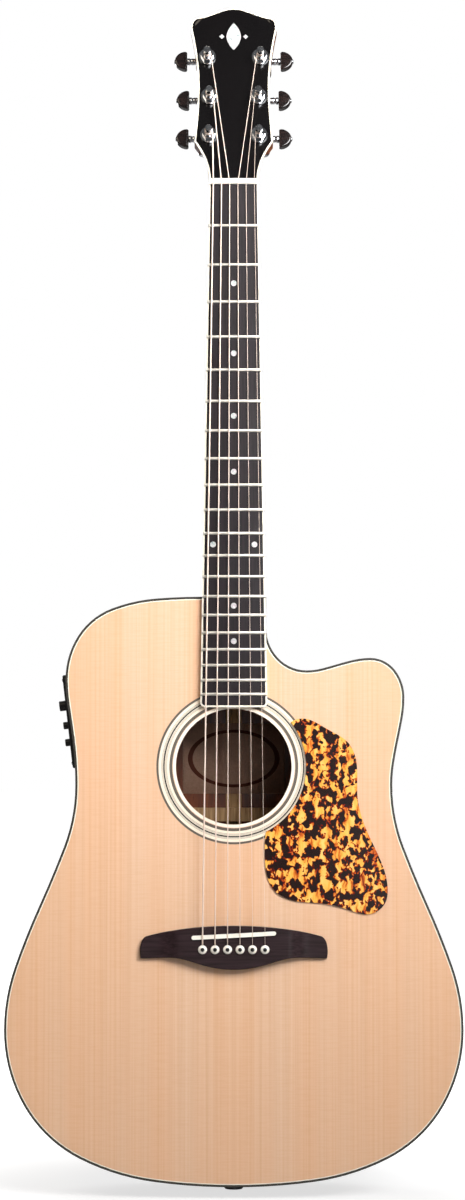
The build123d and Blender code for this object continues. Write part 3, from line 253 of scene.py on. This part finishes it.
body_tones, neck_tones = ("#42200f", "#6d3519", "#8a4a26"), ("#5a2c16", "#7d4423", "#96572f")
dress(mahogany("bent_mahogany", *body_tones, 0.8, 0.35, bent=True), "sides")
dress(mahogany("polished_mahogany", *body_tones, 0.8, 0.35), "back_plate")
dress(mahogany("satin_mahogany", *neck_tones, 0.1, 0.48), "neck", "neck_block", "tail_block")

# %% [markdown]
# ## Bare spruce and cedar inside
# Braces, linings and the bridge plate are never lacquered. They are matte, pale and a little
# woolly, and they have yellowed, because nobody sands the inside twice.

# %% Bare wood finish
bare, tree, place = new_finish("bare_brace_wood")
fibre_wide, fibre_run = 2 * mm, 12
grain = add(tree, "ShaderNodeMapping", {"Vector": place,
                                        "Scale": (1 / fibre_wide, 1 / fibre_wide, fibre_run)})
figure = add(tree, "ShaderNodeTexNoise", {"Vector": grain.outputs[0], "Scale": 1.0, "Detail": 3.0})
tone = add(tree, "ShaderNodeValToRGB", {"Fac": figure.outputs["Fac"]},
           stops=[(0.35, "#8a6a48"), (0.6, "#b08a60")])
relief = add(tree, "ShaderNodeBump", {"Height": figure.outputs["Fac"], "Strength": 0.2, "Distance": 0.3 * mm})
surface = add(tree, "ShaderNodeBsdfPrincipled", {"Base Color": tone.outputs[0], "Roughness": 0.85,
                                                 "IOR": 1.45, "Normal": relief.outputs[0]})
dress(complete(bare, surface), "linings", "top_braces", "back_braces", "bridge_plate")

# %% [markdown]
# ## Rosewood for the fretboard and the bridge
# Rosewood is nearly black with purple and brown streaks, oiled but never lacquered where fingers
# touch it. Its pores are open and long. The board and the bridge are cut from different planks,
# so each gets its own tone and the bridge a little more polish from the lacquerer's cloth.

# %% Rosewood finishes
def rosewood(name, dark, light, roughness, along):
    """Streaks are a noise squeezed across the grain; along gives the scale of the pattern on each axis."""
    made, tree, place = new_finish(name)
    grain = add(tree, "ShaderNodeMapping", {"Vector": place, "Scale": along})
    streak = add(tree, "ShaderNodeTexNoise", {"Vector": grain.outputs[0], "Scale": 1.0, "Detail": 5.0,
                                             "Roughness": 0.6, "Distortion": 0.3})
    tone = add(tree, "ShaderNodeValToRGB", {"Fac": streak.outputs["Fac"]},
               stops=[(0.35, dark), (0.68, light)])
    relief = add(tree, "ShaderNodeBump", {"Height": streak.outputs["Fac"], "Strength": 0.12,
                                          "Distance": 0.2 * mm})
    surface = add(tree, "ShaderNodeBsdfPrincipled", {"Base Color": tone.outputs[0], "Roughness": roughness,
                                                     "IOR": 1.5, "Specular IOR Level": 0.25,
                                                     "Normal": relief.outputs[0]})
    return complete(made, surface)

across_grain, with_grain = 1 / (1.6 * mm), 1 / (45 * mm)
up_the_neck = across_grain, across_grain, with_grain
across_the_body = with_grain, across_grain, across_grain
dress(rosewood("oiled_rosewood_board", "#130e11", "#22191e", 0.5, up_the_neck), "fretboard")
dress(rosewood("oiled_rosewood_bridge", "#1d1314", "#35262a", 0.32, across_the_body), "bridge")

# %% [markdown]
# ## Bindings, nut, saddle and pins
# The outer binding is near-black plastic glued round the edge and scraped flush; inside it runs a
# hair of white purfling. The neck and headstock have an ivory-coloured binding. Nut, saddle and
# bridge pins are moulded in a slightly whiter plastic. Plastic of this kind lets a little light
# in, which a touch of subsurface scattering gives.

# %% Plastic finishes
def moulded(name, code, roughness, scatter=0.0, clouding=0.05):
    """A plastic with faint clouds in it 6 mm wide; clouding is how far they darken it."""
    made, tree, place = new_finish(name)
    cloud_wide, grit_wide = 6 * mm, 0.4 * mm
    cloud = add(tree, "ShaderNodeTexNoise", {"Vector": place, "Scale": 1 / cloud_wide, "Detail": 2.0})
    depth = add(tree, "ShaderNodeMapRange", {"Value": cloud.outputs["Fac"], "From Min": 0.4, "From Max": 0.7,
                                             "To Min": 0.0, "To Max": clouding})
    tone = add(tree, "ShaderNodeMix", {"Factor": depth.outputs[0], 6: linear(code), 7: (0, 0, 0, 1)},
               data_type="RGBA")
    grit = add(tree, "ShaderNodeTexNoise", {"Vector": place, "Scale": 1 / grit_wide, "Detail": 1.0})
    relief = add(tree, "ShaderNodeBump", {"Height": grit.outputs["Fac"], "Strength": 0.03,
                                          "Distance": 0.05 * mm})
    surface = add(tree, "ShaderNodeBsdfPrincipled", {
        "Base Color": tone.outputs[2], "Roughness": roughness, "IOR": 1.5, "Normal": relief.outputs[0],
        "Subsurface Weight": scatter, "Subsurface Radius": (1.0, 0.8, 0.6), "Subsurface Scale": 1 * mm})
    return complete(made, surface)

dress(moulded("black_binding_plastic", "#3c3a36", 0.25), "top_binding", "back_binding", "heel_cap")
dress(moulded("ivory_binding_plastic", "#f4ecdc", 0.3, 0.1), "top_purfling", "fretboard_binding",
      "headstock_binding")
dress(moulded("white_moulded_plastic", "#f6f1e6", 0.35, 0.1), "nut", "saddle", "bridge_pins")
dress(moulded("black_abs_moulding", "#17171a", 0.5), "preamp_panel", "preamp_box")
dress(moulded("black_knob_moulding", "#1b1b1e", 0.38), "volume_knob", "bass_knob", "treble_knob")
dress(moulded("black_tray_moulding", "#1a1a1c", 0.5), "battery_tray")

# %% [markdown]
# ## The pickguard: tortoise celluloid
# Tortoise celluloid is clear amber with clouds of red-brown and near-black swirled into it. The
# black patches are 5 to 10 mm across with ragged edges, and each has a red rim where the dye
# thins. One warped noise gives all three: amber where it is low, red in a narrow step, black
# above. The sheet is rolled while it is warm, so the patches are drawn out along it, and red
# streaks from a second noise, stretched far more, run the same way.

# %% Pickguard finish
patch, drawn_out, streak_wide, streak_long = 6.8 * mm, 0.75, 5 * mm, 22 * mm
warp_wide, warp_reach = 6 * mm, 5 * mm
tortoise, tree, place = new_finish("tortoise_celluloid")
warp = add(tree, "ShaderNodeTexNoise", {"Vector": place, "Scale": 1 / warp_wide, "Detail": 2.0})
warp = add(tree, "ShaderNodeVectorMath", {0: warp.outputs["Color"], 1: (0.5, 0.5, 0.5)}, operation="SUBTRACT")
warp = add(tree, "ShaderNodeVectorMath", {0: warp.outputs[0], "Scale": warp_reach}, operation="SCALE")
warp = add(tree, "ShaderNodeVectorMath", {0: place, 1: warp.outputs[0]}, operation="ADD")
flow = add(tree, "ShaderNodeMapping", {"Vector": warp.outputs[0], "Scale": (1, 1, drawn_out)})
cloud = add(tree, "ShaderNodeTexNoise", {"Vector": flow.outputs[0], "Scale": 1 / patch, "Detail": 2.5,
                                        "Roughness": 0.6})
streaks = add(tree, "ShaderNodeMapping", {"Vector": warp.outputs[0],
                                          "Scale": (1 / streak_wide, 0, 1 / streak_long)})
streak = add(tree, "ShaderNodeTexNoise", {"Vector": streaks.outputs[0], "Scale": 1.0, "Detail": 2.0})
amber = add(tree, "ShaderNodeValToRGB", {"Fac": streak.outputs["Fac"]},
            stops=[(0.34, "#f6c66c"), (0.52, "#f0ae44"), (0.62, "#c95c18"), (0.70, "#75220a")])
edge = add(tree, "ShaderNodeValToRGB", {"Fac": cloud.outputs["Fac"]},
           stops=[(0.0, "#ffffff"), (0.468, "#ffffff"), (0.490, "#c8642a"), (0.510, "#5a160a"),
                  (0.540, "#1c0704"), (1.0, "#0c0403")])
tone = add(tree, "ShaderNodeMix", {"Factor": 1.0, 6: amber.outputs[0], 7: edge.outputs[0]},
           data_type="RGBA", blend_type="MULTIPLY")
surface = add(tree, "ShaderNodeBsdfPrincipled", {
    "Base Color": tone.outputs[2], "Roughness": 0.2, "IOR": 1.5, "Coat Weight": 0.3, "Coat Roughness": 0.05,
    "Coat IOR": 1.5})
dress(complete(tortoise, surface), "pickguard")

# %% [markdown]
# ## Pearl for the dots and the headstock inlay
# Mother of pearl is silver-white with green and pink that drift across it. A warped noise gives
# the patches of the shell and a ramp their colours.

# %% Pearl finish
shell_patch = 2.5 * mm
pearl, tree, place = new_finish("mother_of_pearl")
shell = add(tree, "ShaderNodeTexNoise", {"Vector": place, "Scale": 1 / shell_patch, "Detail": 2.0,
                                        "Distortion": 1.2})
tone = add(tree, "ShaderNodeValToRGB", {"Fac": shell.outputs["Fac"]},
           stops=[(0.3, "#7d9294"), (0.45, "#c9cfc9"), (0.55, "#b9a9b4"), (0.7, "#e6e8e6")])
surface = add(tree, "ShaderNodeBsdfPrincipled", {
    "Base Color": tone.outputs[0], "Roughness": 0.22, "IOR": 1.55, "Coat Weight": 0.4,
    "Coat Roughness": 0.05})
dress(complete(pearl, surface), "fret_markers", "headstock_inlay")

# %% [markdown]
# ## The headstock face: black lacquer
# A thin veneer sprayed black and buffed to a mirror. What the eye sees is almost only the coat's
# reflection, with the faint waviness of polished lacquer.

# %% Black lacquer finish
wave_long = 25 * mm
lacquer, tree, place = new_finish("black_lacquer")
wave = add(tree, "ShaderNodeTexNoise", {"Vector": place, "Scale": 1 / wave_long, "Detail": 1.0})
relief = add(tree, "ShaderNodeBump", {"Height": wave.outputs["Fac"], "Strength": 0.05, "Distance": 1 * mm})
depth = add(tree, "ShaderNodeMapRange", {"Value": wave.outputs["Fac"], "To Min": 0.0, "To Max": 0.3})
tone = add(tree, "ShaderNodeMix", {"Factor": depth.outputs[0], 6: linear("#060506"), 7: linear("#120d0d")},
           data_type="RGBA")
surface = add(tree, "ShaderNodeBsdfPrincipled", {
    "Base Color": tone.outputs[2], "Roughness": 0.25, "IOR": 1.5, "Normal": relief.outputs[0],
    "Specular IOR Level": 0.1, "Coat Weight": 0.8, "Coat Roughness": 0.04, "Coat IOR": 1.5})
dress(complete(lacquer, surface), "headstock_veneer")

# %% [markdown]
# ## Metals
# Tuning machines and strap hardware are plated with chrome: almost a mirror, with finger marks
# that change its polish but not its colour. Frets are nickel silver, warmer and less polished.
# The rod and the pickup are plain steel. Each is the same recipe with its own colour and polish.

# %% Metal finishes
def metal(name, code, polish, smudge):
    """A bare metal: roughness wanders from polish to polish + smudge over patches 5 mm wide."""
    made, tree, place = new_finish(name)
    mark_wide = 5 * mm
    marks = add(tree, "ShaderNodeTexNoise", {"Vector": place, "Scale": 1 / mark_wide, "Detail": 4.0})
    dull = add(tree, "ShaderNodeMapRange", {"Value": marks.outputs["Fac"], "From Min": 0.35, "From Max": 0.7,
                                            "To Min": polish, "To Max": polish + smudge})
    surface = add(tree, "ShaderNodeBsdfPrincipled", {"Base Color": linear(code), "Metallic": 1.0,
                                                     "Roughness": dull.outputs[0]})
    return complete(made, surface)

chrome = metal("chrome_plate", "#d6d8dc", 0.07, 0.1)
dress(chrome, "tuner_housings", "tuner_bushings", "tuner_screws", "endpin_jack", "strap_button",
      *[f"tuner_{piece}_{i}" for piece in ("post", "shaft") for i in range(1, 7)])
dress(metal("nickel_silver_fret_wire", "#e6e0d6", 0.34, 0.12), "frets")
dress(metal("plain_steel", "#8e9094", 0.38, 0.15), "truss_rod", "truss_rod_nut", "piezo_pickup")

# %% [markdown]
# ## Tuner buttons
# The buttons are moulded in a black that is meant for ebony: glossy, with streaks so faint that
# they only show in a highlight.

# %% Button finish
button, tree, place = new_finish("ebony_coloured_moulding")
streak_long, streak_wide = 8 * mm, 1 * mm
grain = add(tree, "ShaderNodeMapping", {"Vector": place,
                                        "Scale": (1 / streak_long, 1 / streak_wide, 1 / streak_wide)})
streak = add(tree, "ShaderNodeTexNoise", {"Vector": grain.outputs[0], "Scale": 1.0, "Detail": 3.0})
tone = add(tree, "ShaderNodeValToRGB", {"Fac": streak.outputs["Fac"]},
           stops=[(0.4, "#120d0d"), (0.65, "#251a18")])
surface = add(tree, "ShaderNodeBsdfPrincipled", {
    "Base Color": tone.outputs[0], "Roughness": 0.16, "IOR": 1.5, "Coat Weight": 0.4, "Coat Roughness": 0.05})
dress(complete(button, surface), *[f"tuner_button_{i}" for i in range(1, 7)])

# %% [markdown]
# ## Strings
# On a real set the four lower strings are steel wound with bronze and the top two are plain. One
# wound finish serves all six here. The thread is fine, about 0.25 mm to a turn on a real string,
# and is drawn at 0.8 mm so that it shows. It runs round the string, so a ripple along the neck's
# line is enough: a bump gives the ridges, and a colour that darkens into the valleys between them
# is painted shade. The finish is only half metallic and paler than bare wire, so that such thin
# strings still show.

# %% String finish
turn, full_circle = 0.8 * mm, 6.2832
string_metal, tree, place = new_finish("phosphor_bronze_wound")
run = add(tree, "ShaderNodeSeparateXYZ", {0: place})
phase = add(tree, "ShaderNodeMath", {0: run.outputs["Z"], 1: full_circle / turn}, operation="MULTIPLY")
ridge = add(tree, "ShaderNodeMath", {0: phase.outputs[0]}, operation="SINE")
ridge_height_and_painted_shade = add(tree, "ShaderNodeMapRange", {"Value": ridge.outputs[0], "From Min": -1.0, "From Max": 1.0,
                                          "To Min": 0.0, "To Max": 1.0})
# The darker colour in the valleys between the windings is painted shade.
tone = add(tree, "ShaderNodeMix", {"Factor": ridge_height_and_painted_shade.outputs[0], 6: linear("#d6bba9"), 7: linear("#fdeee4")},
           data_type="RGBA")
relief = add(tree, "ShaderNodeBump", {"Height": ridge_height_and_painted_shade.outputs[0], "Strength": 0.3, "Distance": 0.1 * mm})
surface = add(tree, "ShaderNodeBsdfPrincipled", {
    "Base Color": tone.outputs[2], "Metallic": 0.45, "Roughness": 0.45, "Normal": relief.outputs[0]})
dress(complete(string_metal, surface), "strings")

# %% [markdown]
# ## Drawing new pieces as surfaces
# The small pieces are grids of points: two parameters run over the surface, a formula gives each
# point, and the faces join neighbours. A grid closes on itself round the piece, as a tube does,
# and each of its two ends is capped with one face, so that it holds water.

# %% Grid to mesh
def surface_piece(name, points, body, finish):
    """A piece from points[..., i, j, xyz]: i runs along it and j round it. Leading axes hold repeats."""
    rows, columns = points.shape[-3:-1]
    sets = points.reshape(-1, rows, columns, 3)
    i, j = np.meshgrid(np.arange(rows - 1), np.arange(columns), indexing="ij")
    this_row, next_row, after = i * columns, (i + 1) * columns, (j + 1) % columns
    quads = np.stack([this_row + j, this_row + after, next_row + after, next_row + j], -1).reshape(-1, 4)
    first_cap = np.arange(columns)[::-1]
    last_cap = np.arange(columns) + (rows - 1) * columns
    faces = []
    for repeat in range(len(sets)):
        shift = repeat * rows * columns
        faces += (quads + shift).tolist()
        faces += [(first_cap + shift).tolist(), (last_cap + shift).tolist()]
    mesh = bpy.data.meshes.new(name)
    mesh.from_pydata(sets.reshape(-1, 3).tolist(), [], faces)
    mesh.validate()
    mesh.polygons.foreach_set("use_smooth", np.ones(len(mesh.polygons), bool))
    mesh.materials.append(finish)
    piece = bpy.data.objects.new(name, mesh)
    bpy.context.scene.collection.objects.link(piece)
    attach(piece, body)
    print(name, "has", len(faces), "faces and rides on", body)

def frame_about(axis, towards):
    """Two unit directions square to axis: the first as near to towards as it can be."""
    axis, towards = np.array(axis, float), np.array(towards, float)
    first = towards - axis * (axis @ towards)
    first /= np.linalg.norm(first)
    return first, np.cross(axis, first)

def turned(profile, foot, axis, towards, steps=24):
    """A turned shape. Point = foot + axis * h + r * (cos a * first + sin a * second), a from 0 to a full
    turn, for each (r, h) of the profile."""
    first, second = frame_about(axis, towards)
    r, h = np.array(profile, float).T[:, :, None]
    a = np.linspace(0, 2 * np.pi, steps, endpoint=False)[None, :, None]
    out = np.cos(a) * first + np.sin(a) * second
    return np.array(foot) + h[..., None] * np.array(axis) + r[..., None] * out

# %% [markdown]
# ## String windings on the posts
# A string runs to the inner side of its post and winds round the waist, from two to four times,
# up to the post's hole, where its cut end is pushed through. The windings turn with the post, so
# they are pieces of their own. A ring of points round a helix lies in the plane that is square to
# it: one direction points out from the post, and the other is square to that and to the helix.

# %% Wind the strings
string_r = [0.675, 0.535, 0.405, 0.305, 0.205, 0.15]
waist_r, wind_from, hole_at, head_face = 2.4, 7.6, 10.4, 21.5
fewest_turns, most_turns, room_a_turn, steps_a_turn, steps_round = 2, 4, 2.1, 24, 10

def winding(number, radius):
    """Centre line = foot + axis * h + R * out, where out = cos a * first + sin a * second and h rises evenly
    from the waist's foot to the hole. Surface = centre line + radius * (cos b * out + sin b * up), where up
    is square to the line and to out."""
    post = number + 1 if number < 3 else 9 - number
    joint = joints[f"post_{post}_turn"]
    side = np.sign(joint["pos_m"][0])
    axis = np.array(joint["axis"])
    first, second = frame_about(axis, (-side, 0, 0))
    second *= -np.sign(second[2])
    turns = int((hole_at - wind_from) / (room_a_turn * radius))
    turns = min(most_turns, max(fewest_turns, turns))
    a = np.linspace(0, 2 * np.pi * turns, steps_a_turn * turns + 1)[:, None]
    h = (head_face + wind_from + (hole_at - wind_from) * a / a[-1]) * mm
    ring = (waist_r + radius) * mm
    out = np.cos(a) * first + np.sin(a) * second
    line = np.array(joint["pos_m"]) + axis * h + ring * out
    ahead = np.gradient(line, axis=0)
    ahead /= np.linalg.norm(ahead, axis=1)[:, None]
    up = np.cross(ahead, out)
    b = np.linspace(0, 2 * np.pi, steps_round, endpoint=False)[None, :, None]
    points = line[:, None] + radius * mm * (np.cos(b) * out[:, None] + np.sin(b) * up[:, None])
    surface_piece(f"string_winding_{post}", points, f"post_{post}", string_metal)

for number, radius in enumerate(string_r):
    winding(number, radius)

# %% [markdown]
# ## The label inside the body
# A paper label is glued on the inside of the back, where the soundhole frames it. Its paper tone
# is set darker than the paper is, as painted shade for the inside of the body. It is drawn on a
# grid that lies on the back and rises over the strip along the back's joint. The only print is
# a brown oval, made from the distance to the label's centre with each axis divided by the oval's
# own half width, so that the ring is where that distance is 1.

# %% Paste the label
fibre_long, label_steps = 1.5 * mm, 61
label_half, label_high, label_above_hole = 45.8 * mm, 63 * mm, 7 * mm
oval_half, oval_high, oval_line = 39 * mm, 24.5 * mm, 0.055
print_colour, paper_thick = "#5a2a18", 0.15 * mm
strip_half, strip_slope, below_top, near_edge = 10 * mm, 3 * mm, 20 * mm, 0.8

def first_wall(name, x, z):
    """Where a ray from just behind the soundboard, at this x and z and pointing back, meets a piece."""
    hit, spot, _, _ = nodes[name].ray_cast(Vector((x, front_y + below_top, z)), Vector((0, 1, 0)))
    return spot.y if hit else None

label_z = hole.z + label_above_hole
label_paper, tree, place = new_finish("printed_label_paper")
flat = add(tree, "ShaderNodeVectorMath", {0: place, 1: (centre_x, 0, label_z)}, operation="SUBTRACT")
flat = add(tree, "ShaderNodeVectorMath", {0: flat.outputs[0], 1: (1 / oval_half, 0, 1 / oval_high)},
           operation="MULTIPLY")
reach_out = add(tree, "ShaderNodeVectorMath", {0: flat.outputs[0]}, operation="LENGTH")
inked = add(tree, "ShaderNodeMath", {0: reach_out.outputs["Value"], 1: 1.0, 2: oval_line},
            operation="COMPARE")
fibre = add(tree, "ShaderNodeTexNoise", {"Vector": place, "Scale": 1 / fibre_long, "Detail": 3.0})
# The paper's tones are darker than the paper itself: painted shade for the inside of the body.
sheet = add(tree, "ShaderNodeValToRGB", {"Fac": fibre.outputs["Fac"]},
            stops=[(0.3, "#a88470"), (0.7, "#b8937e")])
tone = add(tree, "ShaderNodeMix", {"Factor": inked.outputs[0], 6: sheet.outputs[0], 7: linear(print_colour)},
           data_type="RGBA")
surface = add(tree, "ShaderNodeBsdfPrincipled", {"Base Color": tone.outputs[2], "Roughness": 0.8,
                                                 "IOR": 1.45})
complete(label_paper, surface)

def label():
    """A closed sheet: x and z on a grid, y the back's inner face, less the strip's height where |x| is inside
    the strip; the sheet's other side is a paper's thickness behind."""
    low, high = label_z - label_high / 2, label_z + label_high / 2
    x = np.linspace(-label_half, label_half, label_steps)
    z = np.array([low, high])
    wall = np.array([first_wall("back_plate", label_half * near_edge, height) for height in z])
    strip = first_wall("back_braces", centre_x, label_z)
    strip_high = max(0, wall.mean() - strip) if strip else 0
    rise = np.clip((strip_half + strip_slope - np.abs(x)) / strip_slope, 0, 1)
    front = wall[:, None] - strip_high * rise - 2 * paper_thick
    faces = [np.stack(np.broadcast_arrays(x + centre_x, y, z[:, None]), -1)
             for y in (front, front + paper_thick)]
    ring = np.concatenate([faces[0], faces[1][:, ::-1]], 1)
    surface_piece("paper_label", ring, "root", label_paper)

label()

# %% [markdown]
# ## Dots, screws and marks
# The bridge pins have black dots in their heads, the buttons are held by small screws, the
# preamp's panel has a screw in each corner, a chrome collar fills each shaft out between the
# button and the headstock, and each knob has a dot of white paint near its rim that shows where
# it is set. All are turned shapes: a profile swept round an axis. A dome's profile is given by
# its radius, its height and how deep its straight edge goes into the piece below.

# %% Small turned pieces
def points_of(name):
    """All corners of a piece, as rows of x, y and z."""
    mesh = nodes[name].data
    flat = np.empty(len(mesh.vertices) * 3)
    mesh.vertices.foreach_get("co", flat)
    return flat.reshape(-1, 3)

def dome(radius, high, sunk, steps=7, tip_share=0.02):
    """The profile (r, h) of a low dome: r = radius * sin a and h = high * cos a, a from 0 to a quarter turn,
    then a straight edge sunk into the face. The tip is a small flat, tip_share of the radius."""
    a = np.linspace(0, np.pi / 2, steps)
    top = np.stack([radius * np.sin(a), high * np.cos(a)], 1)
    top[0, 0] = radius * tip_share
    return np.concatenate([top, [(radius, -sunk)]])

forward, upward, to_the_treble = (0, -1, 0), (0, 0, 1), (1, 0, 0)
pin_dot = dome(1.7 * mm, 0.12 * mm, 0.5 * mm)
button_screw = dome(2.2 * mm, 0.9 * mm, 1 * mm)
panel_screw = dome(1.9 * mm, 0.7 * mm, 1 * mm)
knob_dot_share, knob_dot_high, knob_dot_sunk, knob_dot_out = 0.18, 0.1 * mm, 0.5 * mm, 0.66

dot_black = moulded("black_dot_plastic", "#0e0d0d", 0.3)
dot_white = moulded("white_paint", "#f2f2ee", 0.4)
pins_low, pins_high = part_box("bridge_pins")
pin_head = (pins_high.z - pins_low.z) / 2
pins_z = middle("bridge_pins").z
pins_x = np.linspace(pins_low.x + pin_head, pins_high.x - pin_head, 6)
pin_dots = [turned(pin_dot, (x, pins_low.y, pins_z), forward, to_the_treble) for x in pins_x]
surface_piece("pin_dots", np.array(pin_dots), "root", dot_black)

collar = np.array([(1.6, -7.4), (2.7, -7.2), (3.0, -6.8), (3.0, -3.9), (2.7, -3.5), (2.1, -3.3),
                   (2.1, -2.5), (3.1, -2.3), (3.2, -2.0), (3.2, -0.1), (1.6, 0.0)]) * mm

def chrome_on_shafts(name, profile, end):
    """One turned piece for each tuner, on its axis, at the button's outer (np.max) or inner (np.min) end."""
    for number in range(1, 7):
        joint = joints[f"tuner_{number}_turn"]
        axis, foot = np.array(joint["axis"]), np.array(joint["pos_m"])
        place = end((points_of(f"tuner_button_{number}") - foot) @ axis)
        shape = turned(profile, foot + axis * place, axis, upward)
        surface_piece(f"{name}_{number}", shape, f"tuner_{number}", chrome)

chrome_on_shafts("button_screw", button_screw, np.max)
chrome_on_shafts("button_collar", collar, np.min)

for knob in ("volume_knob", "bass_knob", "treble_knob"):
    joint = joints[f"{knob}_turn"]
    axis, foot = np.array(joint["axis"]), np.array(joint["pos_m"])
    corners = points_of(knob) - foot
    end, rim = (corners @ axis).max(), np.abs(corners[:, 1]).max()
    up, _ = frame_about(axis, upward)
    profile = dome(knob_dot_share * rim, knob_dot_high, knob_dot_sunk)
    dot = turned(profile, foot + axis * end + up * rim * knob_dot_out, axis, upward)
    surface_piece(f"{knob}_dot", dot, knob, dot_white)

axis = np.array(joints["volume_knob_turn"]["axis"])
up, _ = frame_about(axis, upward)
centre = np.array(middle("preamp_panel"))
corners = points_of("preamp_panel") - centre
inset = 4.5 * mm
face = centre + axis * (corners @ axis).max()
long_way = up * ((corners @ up).max() - inset)
wide_way = np.array((0, corners[:, 1].max() - inset, 0))
screws = [turned(panel_screw, face + a * long_way + b * wide_way, axis, upward)
          for a in (-1, 1) for b in (-1, 1)]
surface_piece("panel_screws", np.array(screws), "root", chrome)

# %% [markdown]
# ## Studio
# A round sheet of pale paper on the floor, so that the guitar can be walked round. Close to the
# guitar the paper is painted a darker grey and glows less, a painted shade round the guitar that
# real shadow also falls on; further out the paper shines, for the camera only, and turns into the
# white of the room.

# %% Floor
floor_radius, floor_sides, floor_z, painted_shade_ends, white_starts = 30, 96, -1 * mm, 0.15, 0.42

def paper_floor():
    """A disc: x = R cos a, y = R sin a, z a hair below the floor line."""
    a = np.linspace(0, 2 * np.pi, floor_sides, endpoint=False)
    points = np.stack([floor_radius * np.cos(a), floor_radius * np.sin(a), np.full(floor_sides, floor_z)], -1)
    mesh = bpy.data.meshes.new("paper_floor")
    mesh.from_pydata(points.tolist(), [], [list(range(floor_sides))])
    made = bpy.data.objects.new("paper_floor", mesh)
    bpy.context.scene.collection.objects.link(made)
    return made

paper, tree, place = new_finish("white_paper")
distance = add(tree, "ShaderNodeVectorMath", {0: place}, operation="LENGTH")
away = add(tree, "ShaderNodeMapRange", {"Value": distance.outputs["Value"], "From Min": painted_shade_ends,
                                        "From Max": white_starts, "To Min": 0.0, "To Max": 1.0},
           interpolation_type="SMOOTHSTEP")
# The paper is painted a darker grey close to the guitar: painted shade.
tone = add(tree, "ShaderNodeMix", {"Factor": away.outputs[0], 6: linear("#a8a8a8"), 7: linear("#c8c8c8")},
           data_type="RGBA")
seen = add(tree, "ShaderNodeLightPath")
# The glow is dimmer close to the guitar as well, as painted shade.
lit = add(tree, "ShaderNodeMapRange", {"Value": away.outputs[0], "To Min": 0.7, "To Max": 1.0})
glow = add(tree, "ShaderNodeMath", {0: lit.outputs[0], 1: seen.outputs["Is Camera Ray"]},
           operation="MULTIPLY")
surface = add(tree, "ShaderNodeBsdfPrincipled", {"Base Color": tone.outputs[2], "Roughness": 0.9,
                                                 "Emission Color": (1, 1, 1, 1),
                                                 "Emission Strength": glow.outputs[0]})
complete(paper, surface)
paper_floor().data.materials.append(paper)
print("paper floor", 2 * floor_radius, "m across")

# %% [markdown]
# ## Lights and camera
# The key light stands high on the right, turned towards the neck, and a grid narrows it. A
# weaker, warmer light fills the left. A tall light low on the right puts a sheen on the lacquer,
# and one behind shows the back when the guitar is walked round. The air of the room gives a
# little light from everywhere and is white to the camera. The camera stands at about the height
# of the soundhole and looks up a little, with a long lens.

# %% Lights and camera
def softbox(name, at, towards, width, height, watts, spread=180, colour=(1, 1, 1)):
    """A rectangular light at one point, turned to face another. A grid narrows its spread, in degrees."""
    light = bpy.data.lights.new(name, "AREA")
    light.shape, light.size, light.size_y, light.energy = "RECTANGLE", width, height, watts
    light.spread, light.color = radians(spread), colour
    made = bpy.data.objects.new(name, light)
    made.location = at
    made.rotation_euler = (Vector(towards) - Vector(at)).to_track_quat("-Z", "Y").to_euler()
    made.visible_camera = False
    bpy.context.scene.collection.objects.link(made)
    print(name, watts, "W")

softbox("key_right", (0.8, -1.15, 1.3), (0.08, 0, 0.86), 1.1, 1.1, 13.6, 75)
softbox("fill_left", (-0.9, -1.1, 1.5), (0, 0, 0.6), 0.8, 0.8, 1.5, 80, (1, 0.87, 0.7))
softbox("sheen_right", (0.82, -3.2, 0.05), (0, 0, 0.1), 0.8, 2.0, 15)
softbox("back_fill", (-0.7, 2.2, 1.6), (0, 0, 0.5), 1.6, 1.6, 26)

world = bpy.data.worlds.new("studio_air")
world.use_nodes = True
air = world.node_tree
air.nodes.clear()
ray = add(air, "ShaderNodeLightPath")
level = add(air, "ShaderNodeMapRange", {"Value": ray.outputs["Is Camera Ray"], "To Min": 0.1, "To Max": 1.0})
sky = add(air, "ShaderNodeBackground", {"Color": (1, 1, 1, 1), "Strength": level.outputs[0]})
add(air, "ShaderNodeOutputWorld", {"Surface": sky.outputs[0]})
bpy.context.scene.world = world

lens_mm, film_mm, level_look, look_up = 90.07, 36, 90, 3
camera = bpy.data.objects.new("camera", bpy.data.cameras.new("camera"))
camera.data.lens, camera.data.sensor_width, camera.data.sensor_fit = lens_mm, film_mm, "AUTO"
camera.location = (-0.0011, -2.6564, 0.3776)
camera.rotation_euler = (radians(level_look + look_up), 0, 0)
bpy.context.scene.collection.objects.link(camera)
bpy.context.scene.camera = camera
bpy.context.scene.view_settings.view_transform = "Standard"
print("camera lens", lens_mm, "mm")
